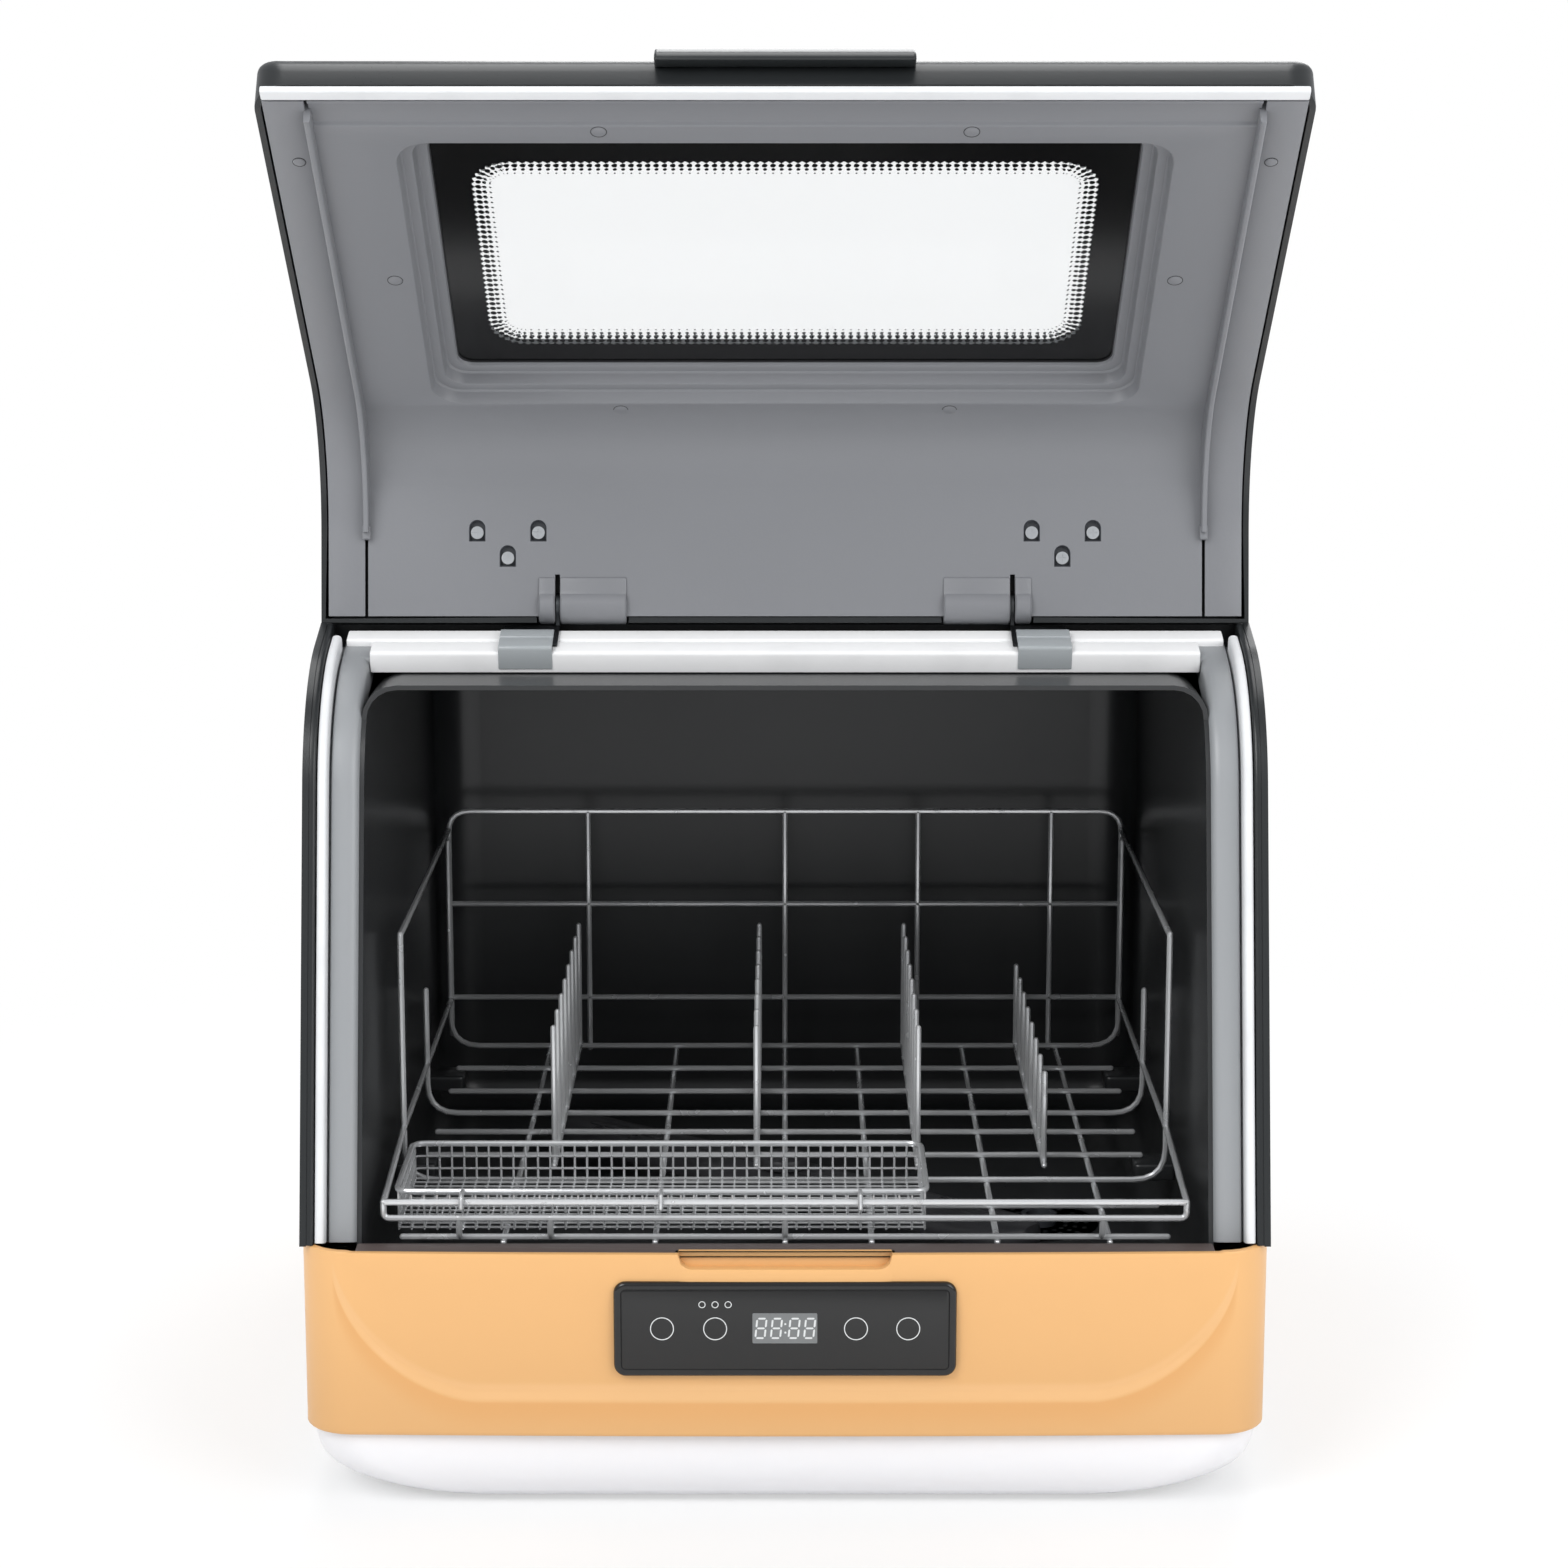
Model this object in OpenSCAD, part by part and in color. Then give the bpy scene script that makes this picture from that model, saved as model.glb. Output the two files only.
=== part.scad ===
// Countertop dishwasher with a clamshell lid, drawn with the lid open.
// X runs across, Y from front to back, Z up. The origin lies on the floor
// under the middle of the space that the open machine takes up.

/* [Overall] */
// Width over the casings
body_w = 440; // [420:1:480]
// Depth from the sill edge to the back panel
body_d = 440; // [430:1:470]
// Height of the front sill
sill_h = 125; // [120:1:140]
// Height of the fixed top behind the lid
top_h = 418; // [416:1:440]
// Top of the white base tray
base_h = 38; // [32:1:44]
// Height of the rubber feet
foot_h = 3; // [2:0.5:5]
// How far the lower casing stands in front of the sill edge
apron = 10; // [9:0.5:13]

/* [Casings] */
// Wall of the casings, base tray and lid shell
shell_t = 3; // [2.4:0.2:3.6]
// Corner radius of the casings seen from above
casing_r = 22; // [16:1:30]
// Corner radius at the bottom of the base tray
base_r = 65; // [50:1:75]
// Width of the upper casing's thick edge beside the side seals
rim_w = 6; // [5:0.2:7]
// Length of that edge along the cheek
rim_l = 12; // [8:1:16]
// Depth of the moulded lip on the lower casing
lip_d = 1.2; // [0.6:0.2:1.6]
// Height of the lip's flat bottom line
lip_z = 60; // [56:1:62]
// Half width of the finger scoop
scoop_w = 48; // [40:1:56]
// Depth of the finger scoop from the sill down
scoop_h = 8; // [6:0.5:10]

/* [Mouth] */
// Lean of the front line of the mouth from upright
front_lean = 13.6; // [12:0.2:15]
// Length of that line from the sill to the corner of the profile
front_len = 254.5; // [250:0.5:260]
// Radius of the mouth at that corner
crown_r = 77; // [66:1:84]
// Rise of the roof line behind the corner
roof_rise = 15; // [13:0.5:16]
// Distance of the tub mouth's side edge from the cheek's outside
mouth_side = 25.3; // [24:0.1:30]
// Width of the side flange face
flange_w = 12.9; // [10:0.1:14]
// Depth of the flange face below the mouth line
flange_d = 7; // [6:0.2:8]
// Wall of the opening frame
frame_t = 3; // [2.4:0.2:3.4]
// Width of the side seals
seal_w = 4.6; // [3.6:0.1:5]

/* [Tub] */
// Height of the tub floor
tub_z = 78; // [76:0.5:82]
// Clear height of the tub roof
tub_top = 368; // [360:1:369]
// Distance of the tub's inner side from the cheek's outside
tub_side_in = 27; // [26:0.5:32]
// Depth of the tub's front wall behind the sill edge
tub_y = 10; // [9:0.5:12]
// Inner depth of the tub
tub_d = 390; // [384:1:394]
// Wall of the tub
tub_t = 2.2; // [1.8:0.1:2.6]
// Radius of the tub's rear corners
tub_r = 25; // [16:1:32]

/* [Hinge] */
// Distance of the pivot behind the profile corner, along the roof line
hinge_run = 80.8; // [78:0.2:84]
// Height of the pivot above the roof line
hinge_rise = 4.8; // [4.4:0.1:5.4]
// Opening angle of the lid
lid_open = 115.5; // [100:0.5:118]
// Radius of the hinge barrels
barrel_r = 8.5; // [7.8:0.1:9]
// Distance of the hinge arms from the middle
hinge_x = 107.9; // [100:0.1:115]
// Thickness of the hinge arms
arm_t = 2; // [1.6:0.1:2.4]
// Radius of the hinge pins
pin_r = 3; // [2.5:0.1:3.5]
// Length of the long barrel
barrel_l = 31.5; // [26:0.5:34]
// Length of the short barrel
barrel_s = 7.7; // [6:0.1:9]
// Width of the arm's foot and its clip
clip_w = 25.4; // [22:0.1:28]

/* [Lid] */
// Thickness of the lid
lid_t = 22; // [21:0.5:24]
// Radius of the lid's outer free edge
lid_edge_r = 12; // [9:0.5:14]
// Radius of the liner at the corner
liner_r = 40; // [34:1:46]
// Wall of the liner
liner_t = 2.5; // [2:0.1:3]
// Height of the lid's side ribs
rib_h = 6; // [4:0.2:6.4]
// Width of the white seal on the free edge
lip_seal_w = 6.6; // [5:0.1:8]
// Width of the handle tab
handle_w = 108; // [90:1:120]
// Reach of the handle tab past the free edge
handle_l = 8.5; // [6:0.5:9.5]

/* [Window] */
// Distance of the window's well from the lid's free edge
well_low = 35; // [33:0.5:40]
// Distance of the well from the corner of the profile
well_high = 27.5; // [27.5:0.5:34]
// Distance of the well's side from the tub mouth's edge
well_side = 30.7; // [27:0.1:40]
// Width of the well's steps
well_step = 5.75; // [5:0.05:6]
// Depth of the well
well_d = 13; // [12:0.2:13.4]
// Corner radius of the well
well_r = 13; // [10:1:18]
// Width of the dark border at the sides of the clear glass
border_x = 17.5; // [12:0.5:26]
// Width of the dark border above and below the clear glass
border_s = 18; // [14:0.5:24]
// Thickness of the glass
glass_t = 2.5; // [2:0.1:2.6]

/* [Control panel] */
// Width of the panel
panel_w = 155; // [145:1:170]
// Height of the panel
panel_h = 44.6; // [42:0.2:48]
// Height of the panel's middle above the floor
panel_z = 89.5; // [88:0.5:92]
// Corner radius of the panel
panel_r = 5; // [3:0.5:8]
// Width of the display
display_w = 29.4; // [24:0.2:34]
// Height of the display
display_h = 14.5; // [12:0.1:16]

/* [Spray arm and filter] */
// Length of the spray arm
arm_l = 310; // [280:1:340]
// Width of the spray arm
arm_w = 45; // [38:1:46]
// Height of the spray arm's underside
arm_z = 90; // [88:0.5:94]
// Angle at which the arm stands
arm_a = -38.7; // [-45:0.1:-30]
// Distance of the filter to the right of the middle
filter_x = 128; // [124:1:136]
// Distance of the filter behind the sill edge
filter_y = 180; // [176:1:186]
// Radius of the filter cover
filter_r = 30; // [26:1:31]
// Depth of the filter cup
cup_h = 27; // [22:1:30]

/* [Rack] */
// Wire diameter of the rack
wire_d = 3; // [2.4:0.1:3.2]
// Room between the rack's side wires and the tub
rack_side = 7; // [5:0.5:13]
// Height of the rack's floor wires
rack_z = 117; // [115:0.5:119]
// Depth of the front rails behind the sill edge
rack_front = 26; // [25:1:32]
// Depth of the rear wall behind the sill edge
rack_back = 372; // [366:1:376]
// Height of the rear wall over the floor wires
rack_wall_h = 134; // [120:1:138]
// Height of the side walls at the front over the floor wires
rack_side_h = 125; // [112:1:130]
// Height of the tines
tine_h = 73; // [60:1:80]
// Height of the front rail above the sill
rail_h = 12.7; // [12:0.1:16]
// Angle at which the rack is drawn out
rack_a = 23; // [22:0.5:23.5]
// Number of tines in a row
tine_n = 8; // [6:1:9]

/* [Cutlery basket] */
// Length of the basket
basket_w = 252; // [230:1:256]
// Depth of the basket
basket_d = 84; // [70:1:86]
// Height of the basket wall
basket_h = 19; // [16:0.5:20]
// Pitch of the basket mesh
mesh_p = 9.4; // [9:0.1:14]
// Wire of the basket mesh
mesh_d = 1.4; // [1:0.1:1.6]

/* [Connections] */
// Radius of the threaded water inlet
inlet_r = 13.2; // [12:0.1:14]
// Length of the inlet outside the back
inlet_l = 14; // [10:1:18]
// Radius of the drain spigot
drain_r = 9; // [8:0.1:10]
// Length of the drain spigot outside the back
drain_l = 20; // [16:1:26]
// Length of the thin neck between the back and what the hoses slide over
neck_l = 1; // [0.6:0.1:2]
// Bend radius of the internal hoses
bend_r = 20; // [18:0.5:24]

/* [Hidden] */

// Clearances between pieces
gap = 0.2;
run_gap = 0.05;
air = 0.5;
// Half a rack wire, and the height between two that cross in a weld
wr = wire_d / 2;
weld = wire_d * 0.85;

// The mouth profile lies in the YZ plane: a front line, a round corner, a roof line
front_a = 90 - front_lean;
half_turn = (front_a - roof_rise) / 2;
crown_n = 14;

function step(p, a, s) = [p[0] + s * cos(a), p[1] + s * sin(a)];
function arc(c, r, a0, a1, n) = [for (i = [0:n]) step(c, a0 + (a1 - a0) * i / n, r)];
function back(v) = [for (i = [len(v) - 1:-1:0]) v[i]];

sill = [0, sill_h];
corner = step(sill, front_a, front_len);
// Tangent length of a corner of radius r
function cut(r) = r * tan(half_turn);
function crown_c(r) = step(corner, (front_a + roof_rise) / 2 - 90, r / cos(half_turn));
// A point s up the front line, and one r along the roof line, each moved out by d
function on_front_line(s, d) = step(step(sill, front_a, s), front_a + 90, d);
function on_roof_line(r, d) = step(step(corner, roof_rise, r), roof_rise + 90, d);
function mouth(d, s, r, rad) = concat(
    [on_front_line(s, d)],
    arc(crown_c(rad), rad + d, front_a + 90, roof_rise + 90, crown_n),
    [on_roof_line(r, d)]
);

pivot = on_roof_line(hinge_run, hinge_rise);
// The lid ends just in front of the pivot, and its rear corner swings in the channel
lid_end = hinge_run - 5;
channel_r = norm([5, lid_t - hinge_rise]) + 0.7;
// Line of the open lid's outer face, which leans back over the edge of the fixed top
lean_a = 180 + roof_rise - lid_open;
lean_d = lid_t - hinge_rise;
channel_y = pivot[0] + lean_d * sin(lean_a)
    + cos(lean_a) * (top_h - pivot[1] + lean_d * cos(lean_a)) / sin(lean_a) + 0.8;
channel_z = pivot[1] - channel_r - air;

// The open lid's free edge is the front of the whole, the drain spigot its back
function swing(p) = let (v = p - pivot) pivot
    + [v[0] * cos(-lid_open) - v[1] * sin(-lid_open), v[0] * sin(-lid_open) + v[1] * cos(-lid_open)];
front_most = swing(on_front_line(-handle_l, lid_t - 10))[0];
centre_y = (front_most + body_d + drain_l) / 2;

mouth_x = body_w / 2 - mouth_side;
rail_x = mouth_x + flange_w;
seal_x = rail_x + 1.2;
rear_r0 = 47;
rear_r1 = hinge_run - 7;

module home() translate([0, -centre_y, 0]) children();
// Takes a drawing with Y across the page and Z up it, and gives it width in X
module across(x0, x1) translate([x0, 0, 0]) rotate([90, 0, 90]) linear_extrude(x1 - x0) children();
module both() { children(); mirror([1, 0, 0]) children(); }
module slab(z0, z1) translate([0, 0, z0]) linear_extrude(z1 - z0) children();
module on_front() translate([0, 0, sill_h]) rotate([front_a, 0, 0]) children();
module on_roof() translate([0, corner[0], corner[1]]) rotate([roof_rise, 0, 0]) children();
module at_pivot() translate([0, pivot[0], pivot[1]]) children();
// Lid pieces are drawn closed and swung open
module opened() home() at_pivot() rotate([-lid_open, 0, 0]) translate([0, -pivot[0], -pivot[1]]) children();
module along_x(r, x0, x1, n = 48) translate([x0, 0, 0]) rotate([0, 90, 0]) cylinder(r = r, h = x1 - x0, $fn = n);
module along_y(r, y0, y1, n = 48) translate([0, y0, 0]) rotate([-90, 0, 0]) cylinder(r = r, h = y1 - y0, $fn = n);
module up(r, z0, z1, n = 48) translate([0, 0, z0]) cylinder(r = r, h = z1 - z0, $fn = n);
module block(p, q) translate(p) cube(q - p);

// Rounded rectangles: seen from above with one radius, or with front and back radii
function ring(x, y0, y1, rf, rb, n = 8) = concat(
    arc([x - rf, y0 + rf], rf, -90, 0, n), arc([x - rb, y1 - rb], rb, 0, 90, n),
    arc([rb - x, y1 - rb], rb, 90, 180, n), arc([rf - x, y0 + rf], rf, 180, 270, n)
);
module plan(x, y0, y1, r) polygon(ring(x, y0, y1, r, r));
// A piece of the mouth line between two depths
module band(d0, d1, s, r, rad) polygon(concat(mouth(d0, s, r, rad), back(mouth(d1, s, r, rad))));

// Base tray, feet and casings

foot_x = body_w / 2 - 62;
foot_y = [44, body_d - 44];
foot_r = 14;
stud_r = 5;
module at_feet() for (x = [-foot_x, foot_x], y = foot_y) translate([x, y, 0]) children();

module tray_form(t) hull() {
    slab(base_h - 1, base_h) plan(body_w / 2 - 3.5 - t, 3.5 + t - apron, body_d - 3.5 - t, casing_r - t);
    slab(foot_h + t + 9, foot_h + t + 10) plan(body_w / 2 - 7 - t, 7 + t - apron, body_d - 7 - t, base_r - 20 - t);
    slab(foot_h + t, foot_h + t + 1) plan(body_w / 2 - 16 - t, 16 + t - apron, body_d - 16 - t, base_r - t);
}
module base_tray() color("#F4F3F6") home() difference() {
    tray_form(0);
    tray_form(shell_t);
    slab(base_h - 1.5, base_h + 1) plan(body_w / 2 - 3.5 - shell_t, 3.5 + shell_t - apron,
        body_d - 3.5 - shell_t, casing_r - shell_t);
    at_feet() up(stud_r, 0, foot_h + shell_t + 1);
    // Slots that let air in under the pumps
    for (i = [-4:4]) slab(0, foot_h + shell_t + 1)
        translate([i * 12 - 2.5, body_d / 2 - 60]) square([5, 70]);
}
module feet() color("#3A3A3C") home() at_feet() {
    up(foot_r, 0, foot_h);
    up(stud_r - run_gap, foot_h, foot_h + shell_t + 3);
    up(stud_r + 2.5, foot_h + shell_t + gap, foot_h + shell_t + 3);
}

// The lip's lower edge: a flat line that curves up to both ends of the sill
lip_x = body_w / 2 - 17;
function lip_curve(t) = [
    lip_x - (lip_x - 138) * pow(t, 1.6),
    sill_h - 2 - (sill_h - 2 - lip_z) * (1 - pow(1 - t, 2.4))
];
module lip_outline() {
    right = [for (i = [0:12]) lip_curve(i / 12)];
    polygon(concat(right, [for (p = back(right)) [-p[0], p[1]]]));
}
// The scoop leaves room for fingers behind the lid's handle tab
scoop_d = 5.5;
module scoop_cut() translate([0, -apron, 0]) rotate([90, 0, 0]) translate([0, 0, -scoop_d])
    linear_extrude(scoop_d + 1) polygon(concat(
        arc([scoop_w - 9, sill_h - scoop_h + 6], 6, -90, 0, 6), [[scoop_w, sill_h + 1], [-scoop_w, sill_h + 1]],
        arc([9 - scoop_w, sill_h - scoop_h + 6], 6, 180, 270, 6)
    ));
body_x = panel_w / 2 - 3;
body_z = panel_h / 2 - 3;
// Ports in the back: water inlet, drain over its hose, power gland
pump_z = tub_z - 10 - cup_h - 4 + 11;
drain_r0 = 18;
drain_x = filter_x + drain_r0 + 6 + gap + bend_r;
ports = [[-150, inlet_r + gap], [drain_x, drain_r + gap], [95, 9 + gap]];
port_z = pump_z + 2 * bend_r * (1 - cos(45));
sill_top = sill_h - 0.5;

module lower_casing() color("#F5C487") home() difference() {
    union() {
        difference() {
            slab(base_h, sill_h) plan(body_w / 2, -apron, body_d, casing_r);
            slab(base_h - 1, sill_h + 1) plan(body_w / 2 - shell_t, shell_t - apron, body_d - shell_t, casing_r - shell_t);
        }
        // Backing behind the scoop
        block([-scoop_w - 3, shell_t - apron - 1, sill_h - scoop_h - 6], [scoop_w + 3, scoop_d + 2 - apron, sill_h - 3 - gap]);
    }
    // The front edge stands lower than the cheeks do
    block([-body_w / 2 + casing_r, -apron - 1, sill_top], [body_w / 2 - casing_r, shell_t - apron + 1, sill_h + 1]);
    translate([0, lip_d - apron, 0]) rotate([90, 0, 0]) linear_extrude(lip_d + 1) difference() {
        lip_outline();
        translate([-body_w / 2, sill_h - 2.5]) square([body_w, 5]);
    }
    scoop_cut();
    block([-body_x - gap, -apron - 1, panel_z - body_z - gap], [body_x + gap, shell_t - apron + 1, panel_z + body_z + gap]);
    for (p = ports) translate([p[0], 0, port_z]) along_y(p[1], body_d - shell_t - 1, body_d + 1);
}

cover_x = 130;
cover_z = [168, 352];
// The cheek seen from the side: mouth line, hinge channel, fixed top, back
module cheek_form() difference() {
    polygon(concat(
        mouth(0, 0, hinge_run + 6, crown_r),
        [[channel_y, pivot[1] + 1], [channel_y, top_h]],
        arc([body_d - 20, top_h - 20], 20, 90, 0, 8), [[body_d, sill_h]]
    ));
    // Sweep of the lid's rear end: above the mouth line in front, and behind the pivot
    intersection() {
        translate(pivot) circle(channel_r + air, $fn = 64);
        union() {
            polygon([on_roof_line(hinge_run - 40, 0), on_roof_line(hinge_run + 40, 0),
                on_roof_line(hinge_run + 40, 40), on_roof_line(hinge_run - 40, 40)]);
            polygon([on_roof_line(hinge_run - 3, -5), on_roof_line(hinge_run + 40, -5),
                on_roof_line(hinge_run + 40, 40), on_roof_line(hinge_run - 3, 40)]);
        }
    }
}
module upper_casing() color("#2B2E31") home() {
    difference() {
        intersection() {
            across(-body_w / 2, body_w / 2) cheek_form();
            slab(sill_h, top_h + 1) plan(body_w / 2, -60, body_d, casing_r);
        }
        // Hollow, open at the mouth, with a wall behind the hinge channel
        intersection() {
            across(-body_w / 2 + shell_t, body_w / 2 - shell_t) polygon([[-70, sill_h - 1], [-70, top_h + 60],
                [channel_y, top_h + 60], [channel_y, top_h - shell_t], [body_d - shell_t - 17, top_h - shell_t],
                [body_d - shell_t, top_h - shell_t - 17], [body_d - shell_t, sill_h - 1]]);
            slab(sill_h - 2, top_h + 70) plan(body_w / 2 - shell_t, -80, body_d - shell_t, casing_r - shell_t);
        }
        block([-cover_x, body_d - shell_t - 1, cover_z[0]], [cover_x, body_d + 1, cover_z[1]]);
        cover_holes(1.6);
    }
    both() across(body_w / 2 - rim_w, body_w / 2 - shell_t + 0.5) band(-0.4, -rim_l, 4, hinge_run - 20, crown_r);
    // Channel that the lid's rear end swings in
    across(-body_w / 2 + shell_t - 0.5, body_w / 2 - shell_t + 0.5) polygon([
        [on_roof_line(rear_r1, -16)[0] + gap, channel_z], [channel_y, channel_z], [channel_y, top_h - 1],
        [channel_y + 2.5, top_h - 1], [channel_y + 2.5, channel_z - 2.5], [on_roof_line(rear_r1, -16)[0] + gap, channel_z - 2.5]
    ]);
}
module cover_holes(r) for (x = [-cover_x - 8, 0, cover_x + 8], z = [cover_z[0] - 8, cover_z[1] + 8])
    translate([x, 0, z]) along_y(r, body_d - shell_t - 1, body_d + shell_t, 24);
module rear_cover() color("#303337") home() difference() {
    block([-cover_x - 15, body_d, cover_z[0] - 15], [cover_x + 15, body_d + 2, cover_z[1] + 15]);
    cover_holes(1.8);
    for (i = [0:9]) block([cover_x - 100, body_d - 1, cover_z[1] - 78 + i * 7], [cover_x - 15, body_d + 3, cover_z[1] - 75 + i * 7]);
}
module rear_cover_screws() color("#B9BBBE") home() {
    cover_holes_at = [for (x = [-cover_x - 8, 0, cover_x + 8], z = [cover_z[0] - 8, cover_z[1] + 8]) [x, z]];
    for (p = cover_holes_at) translate([p[0], 0, p[1]]) difference() {
        union() {
            along_y(1.55, body_d - shell_t, body_d + 2.5, 24);
            along_y(3.2, body_d + 2, body_d + 3.8, 24);
        }
        block([-2, body_d + 3, -0.4], [2, body_d + 4, 0.4]);
        block([-0.4, body_d + 3, -2], [0.4, body_d + 4, 2]);
    }
}
module front_trim() color("#5C524F") home() difference() {
    block([-mouth_x + gap, shell_t - apron + gap, sill_h - 3], [mouth_x - gap, 7, sill_h - 0.6]);
    scoop_cut();
}

// Control panel

panel_y = lip_d - apron;
housing_t = 2.6;
module housing_form(x, z, r, y0, y1) translate([0, y1, 0]) rotate([90, 0, 0])
    linear_extrude(y1 - y0) translate([0, panel_z]) polygon(ring(x, -z, z, r, r));
module panel_housing() color("#242526") home() difference() {
    union() {
        housing_form(panel_w / 2, panel_h / 2, panel_r, panel_y - housing_t, panel_y);
        housing_form(body_x, body_z, panel_r - 2, panel_y - 1, panel_y + 8);
    }
    housing_form(panel_w / 2 - 3.5, panel_h / 2 - 3.5, panel_r - 2, panel_y - housing_t - 1, panel_y - housing_t + 1.4);
    housing_form(body_x - 1.5, body_z - 1.5, panel_r - 3, panel_y, panel_y + 9);
    block([-display_w / 2 - gap, panel_y - housing_t - 1, panel_z - display_h / 2 - gap],
        [display_w / 2 + gap, panel_y + 1, panel_z + display_h / 2 + gap]);
}
module touch_panel() color("#232323") home() difference() {
    housing_form(panel_w / 2 - 3.7, panel_h / 2 - 3.7, panel_r - 2.2, panel_y - housing_t + 0.2, panel_y - housing_t + 1.4);
    block([-display_w / 2 - gap, panel_y - housing_t - 1, panel_z - display_h / 2 - gap],
        [display_w / 2 + gap, panel_y + 1, panel_z + display_h / 2 + gap]);
}
board_y = panel_y + 5;
module display() color("#787A7B") home()
    block([-display_w / 2, panel_y - housing_t + 0.3, panel_z - display_h / 2], [display_w / 2, board_y, panel_z + display_h / 2]);
module control_board() color("#2E6B45") home() {
    x = body_x - 2.5;
    z = body_z - 2.5;
    block([-x, board_y, panel_z - z], [x, board_y + 1.6, panel_z + z]);
    for (at = [-48, -24, 30, 52]) block([at - 4, board_y + 1.6, panel_z - 5], [at + 4, board_y + 3, panel_z + 5]);
}

// Tub, opening frame and seals

mouth_in = -(flange_d + frame_t + gap);
tub_x = body_w / 2 - tub_side_in;
tub_back = tub_y + tub_d;
roof_y = on_roof_line(rear_r0, mouth_in)[0];
filter_seat = filter_r + 2;
arm_y = tub_y + tub_d / 2;
duct_r = 16;
duct_pos = [-110, 330];
module tub_side() intersection() {
    polygon(concat(
        [[tub_y - tub_t, tub_z - tub_t], [tub_y - tub_t, sill_h - 3 - gap], [tub_y - tub_t + 1, sill_h - 3 - gap]],
        mouth(mouth_in, 0, hinge_run + 30, crown_r),
        [[tub_back + tub_t, top_h], [tub_back + tub_t, tub_z - tub_t]]
    ));
    translate([-5, 0]) square([tub_back + 20, tub_top + tub_t]);
}
ledge_y = [150, 310];
ledge_top = rack_z + weld - wr - 0.3;
module tub() color("#2A2B2D") home() difference() {
    union() {
        difference() {
            intersection() {
                across(-tub_x - tub_t, tub_x + tub_t) tub_side();
                slab(0, top_h) polygon(ring(tub_x + tub_t, tub_y - tub_t - 1, tub_back + tub_t, 3, tub_r + tub_t));
            }
            intersection() {
                across(-tub_x, tub_x) union() {
                    translate([tub_y, tub_z]) square([tub_d, tub_top - tub_z]);
                    translate([tub_y, tub_z]) square([roof_y - tub_y, top_h]);
                }
                slab(0, top_h * 2) polygon(ring(tub_x, tub_y, tub_back, 3, tub_r));
            }
        }
        translate([filter_x, filter_y, 0]) up(filter_seat + 4, tub_z - 5, tub_z - 0.5);
        // Ledges that the rack rests on
        both() for (y = ledge_y) block([tub_x - 21, y, ledge_top - 9], [tub_x + 1, y + 20, ledge_top]);
    }
    // Seat for the filter cover over the hole to the sump
    translate([filter_x, filter_y, 0]) {
        up(filter_r + 0.5, tub_z - 2.5, tub_z + 1);
        up(filter_r - 3.5, tub_z - 10, tub_z);
    }
    translate([0, arm_y, 0]) up(9 + gap, tub_z - tub_t - 1, tub_z + 1);
    translate([duct_pos[0], duct_pos[1], 0]) up(duct_r + gap, tub_top - 1, tub_top + tub_t + 1);
}
// Its strips are set a little off each other's faces, so that none ends in a sliver
lap = 0.1;
module opening_frame() color("#97989C") home() {
    both() {
        across(mouth_x, rail_x) band(-flange_d - frame_t, -flange_d, 2, rear_r1, crown_r);
        across(rail_x - 1.5 - lap, rail_x - lap) band(-13, -flange_d - 1, 2 + lap, rear_r0 + 14, crown_r);
        across(rail_x - 1.5, seal_x + seal_w + 0.2) band(-14, -12, 2, rear_r0 + 12, crown_r);
        across(tub_x + tub_t + gap, tub_x + tub_t + gap + 2) band(-22, -flange_d - 1, 6, rear_r0 + 1, crown_r);
    }
    on_roof() {
        block([-rail_x + lap, rear_r0, -flange_d - frame_t + lap], [rail_x - lap, rear_r1 - lap, -flange_d - lap]);
        block([-rail_x + lap, rear_r1 - 2, -16], [rail_x - lap, rear_r1 - lap, -flange_d - 1]);
        block([-mouth_x + 4, rear_r0, -flange_d - frame_t - 3.5], [mouth_x - 4, rear_r0 + 2, -flange_d - 1]);
    }
}
module side_seals() color("#D8DADB") home()
    both() across(seal_x, seal_x + seal_w) band(-12 + gap, -0.6, 2, rear_r0 + 12, crown_r);
module rear_seal() color("#FAFAFA") home() on_roof() difference() {
    union() {
        block([-mouth_x, rear_r0 + 0.3, -flange_d], [mouth_x, rear_r0 + 13, -3.6]);
        block([-rail_x + 0.5, rear_r0 + 11, -flange_d], [rail_x - 0.5, rear_r1 - 2, -3.6]);
    }
    block([-body_w, rear_r0 + 11, -5.6], [body_w, rear_r0 + 14, 0]);
}

// Hinges

arm_in = hinge_x - arm_t / 2;
arm_out = hinge_x + arm_t / 2;
foot_top = -1.9;
foot_low = -3.4;
barrels = [[arm_in - gap - barrel_l, arm_in - gap], [arm_out + gap, arm_out + gap + barrel_s]];
spring_x = [arm_in - gap - barrel_l + 5, arm_in - gap - 4];
module hinge_arms() color("#3B3D3F") home() both() difference() {
    union() {
        on_roof() block([arm_in, hinge_run - 6, foot_low], [arm_out, hinge_run + 6, hinge_rise]);
        on_roof() block([arm_in, rear_r0 + 5, foot_low], [arm_out, hinge_run - 5, foot_top]);
        on_roof() block([arm_in, rear_r0 + 5, foot_low], [arm_in + clip_w + 1, rear_r1, foot_top]);
        at_pivot() along_x(6.6, arm_in, arm_out);
    }
    at_pivot() along_x(pin_r + run_gap, arm_in - 1, arm_out + 1);
}
module hinge_pins() color("#C4C6C8") home() both() at_pivot() {
    along_x(pin_r, barrels[0][0] - 1, barrels[1][1] + 1);
    along_x(pin_r + 1.5, barrels[0][0] - 2.5, barrels[0][0] - gap);
}
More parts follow.
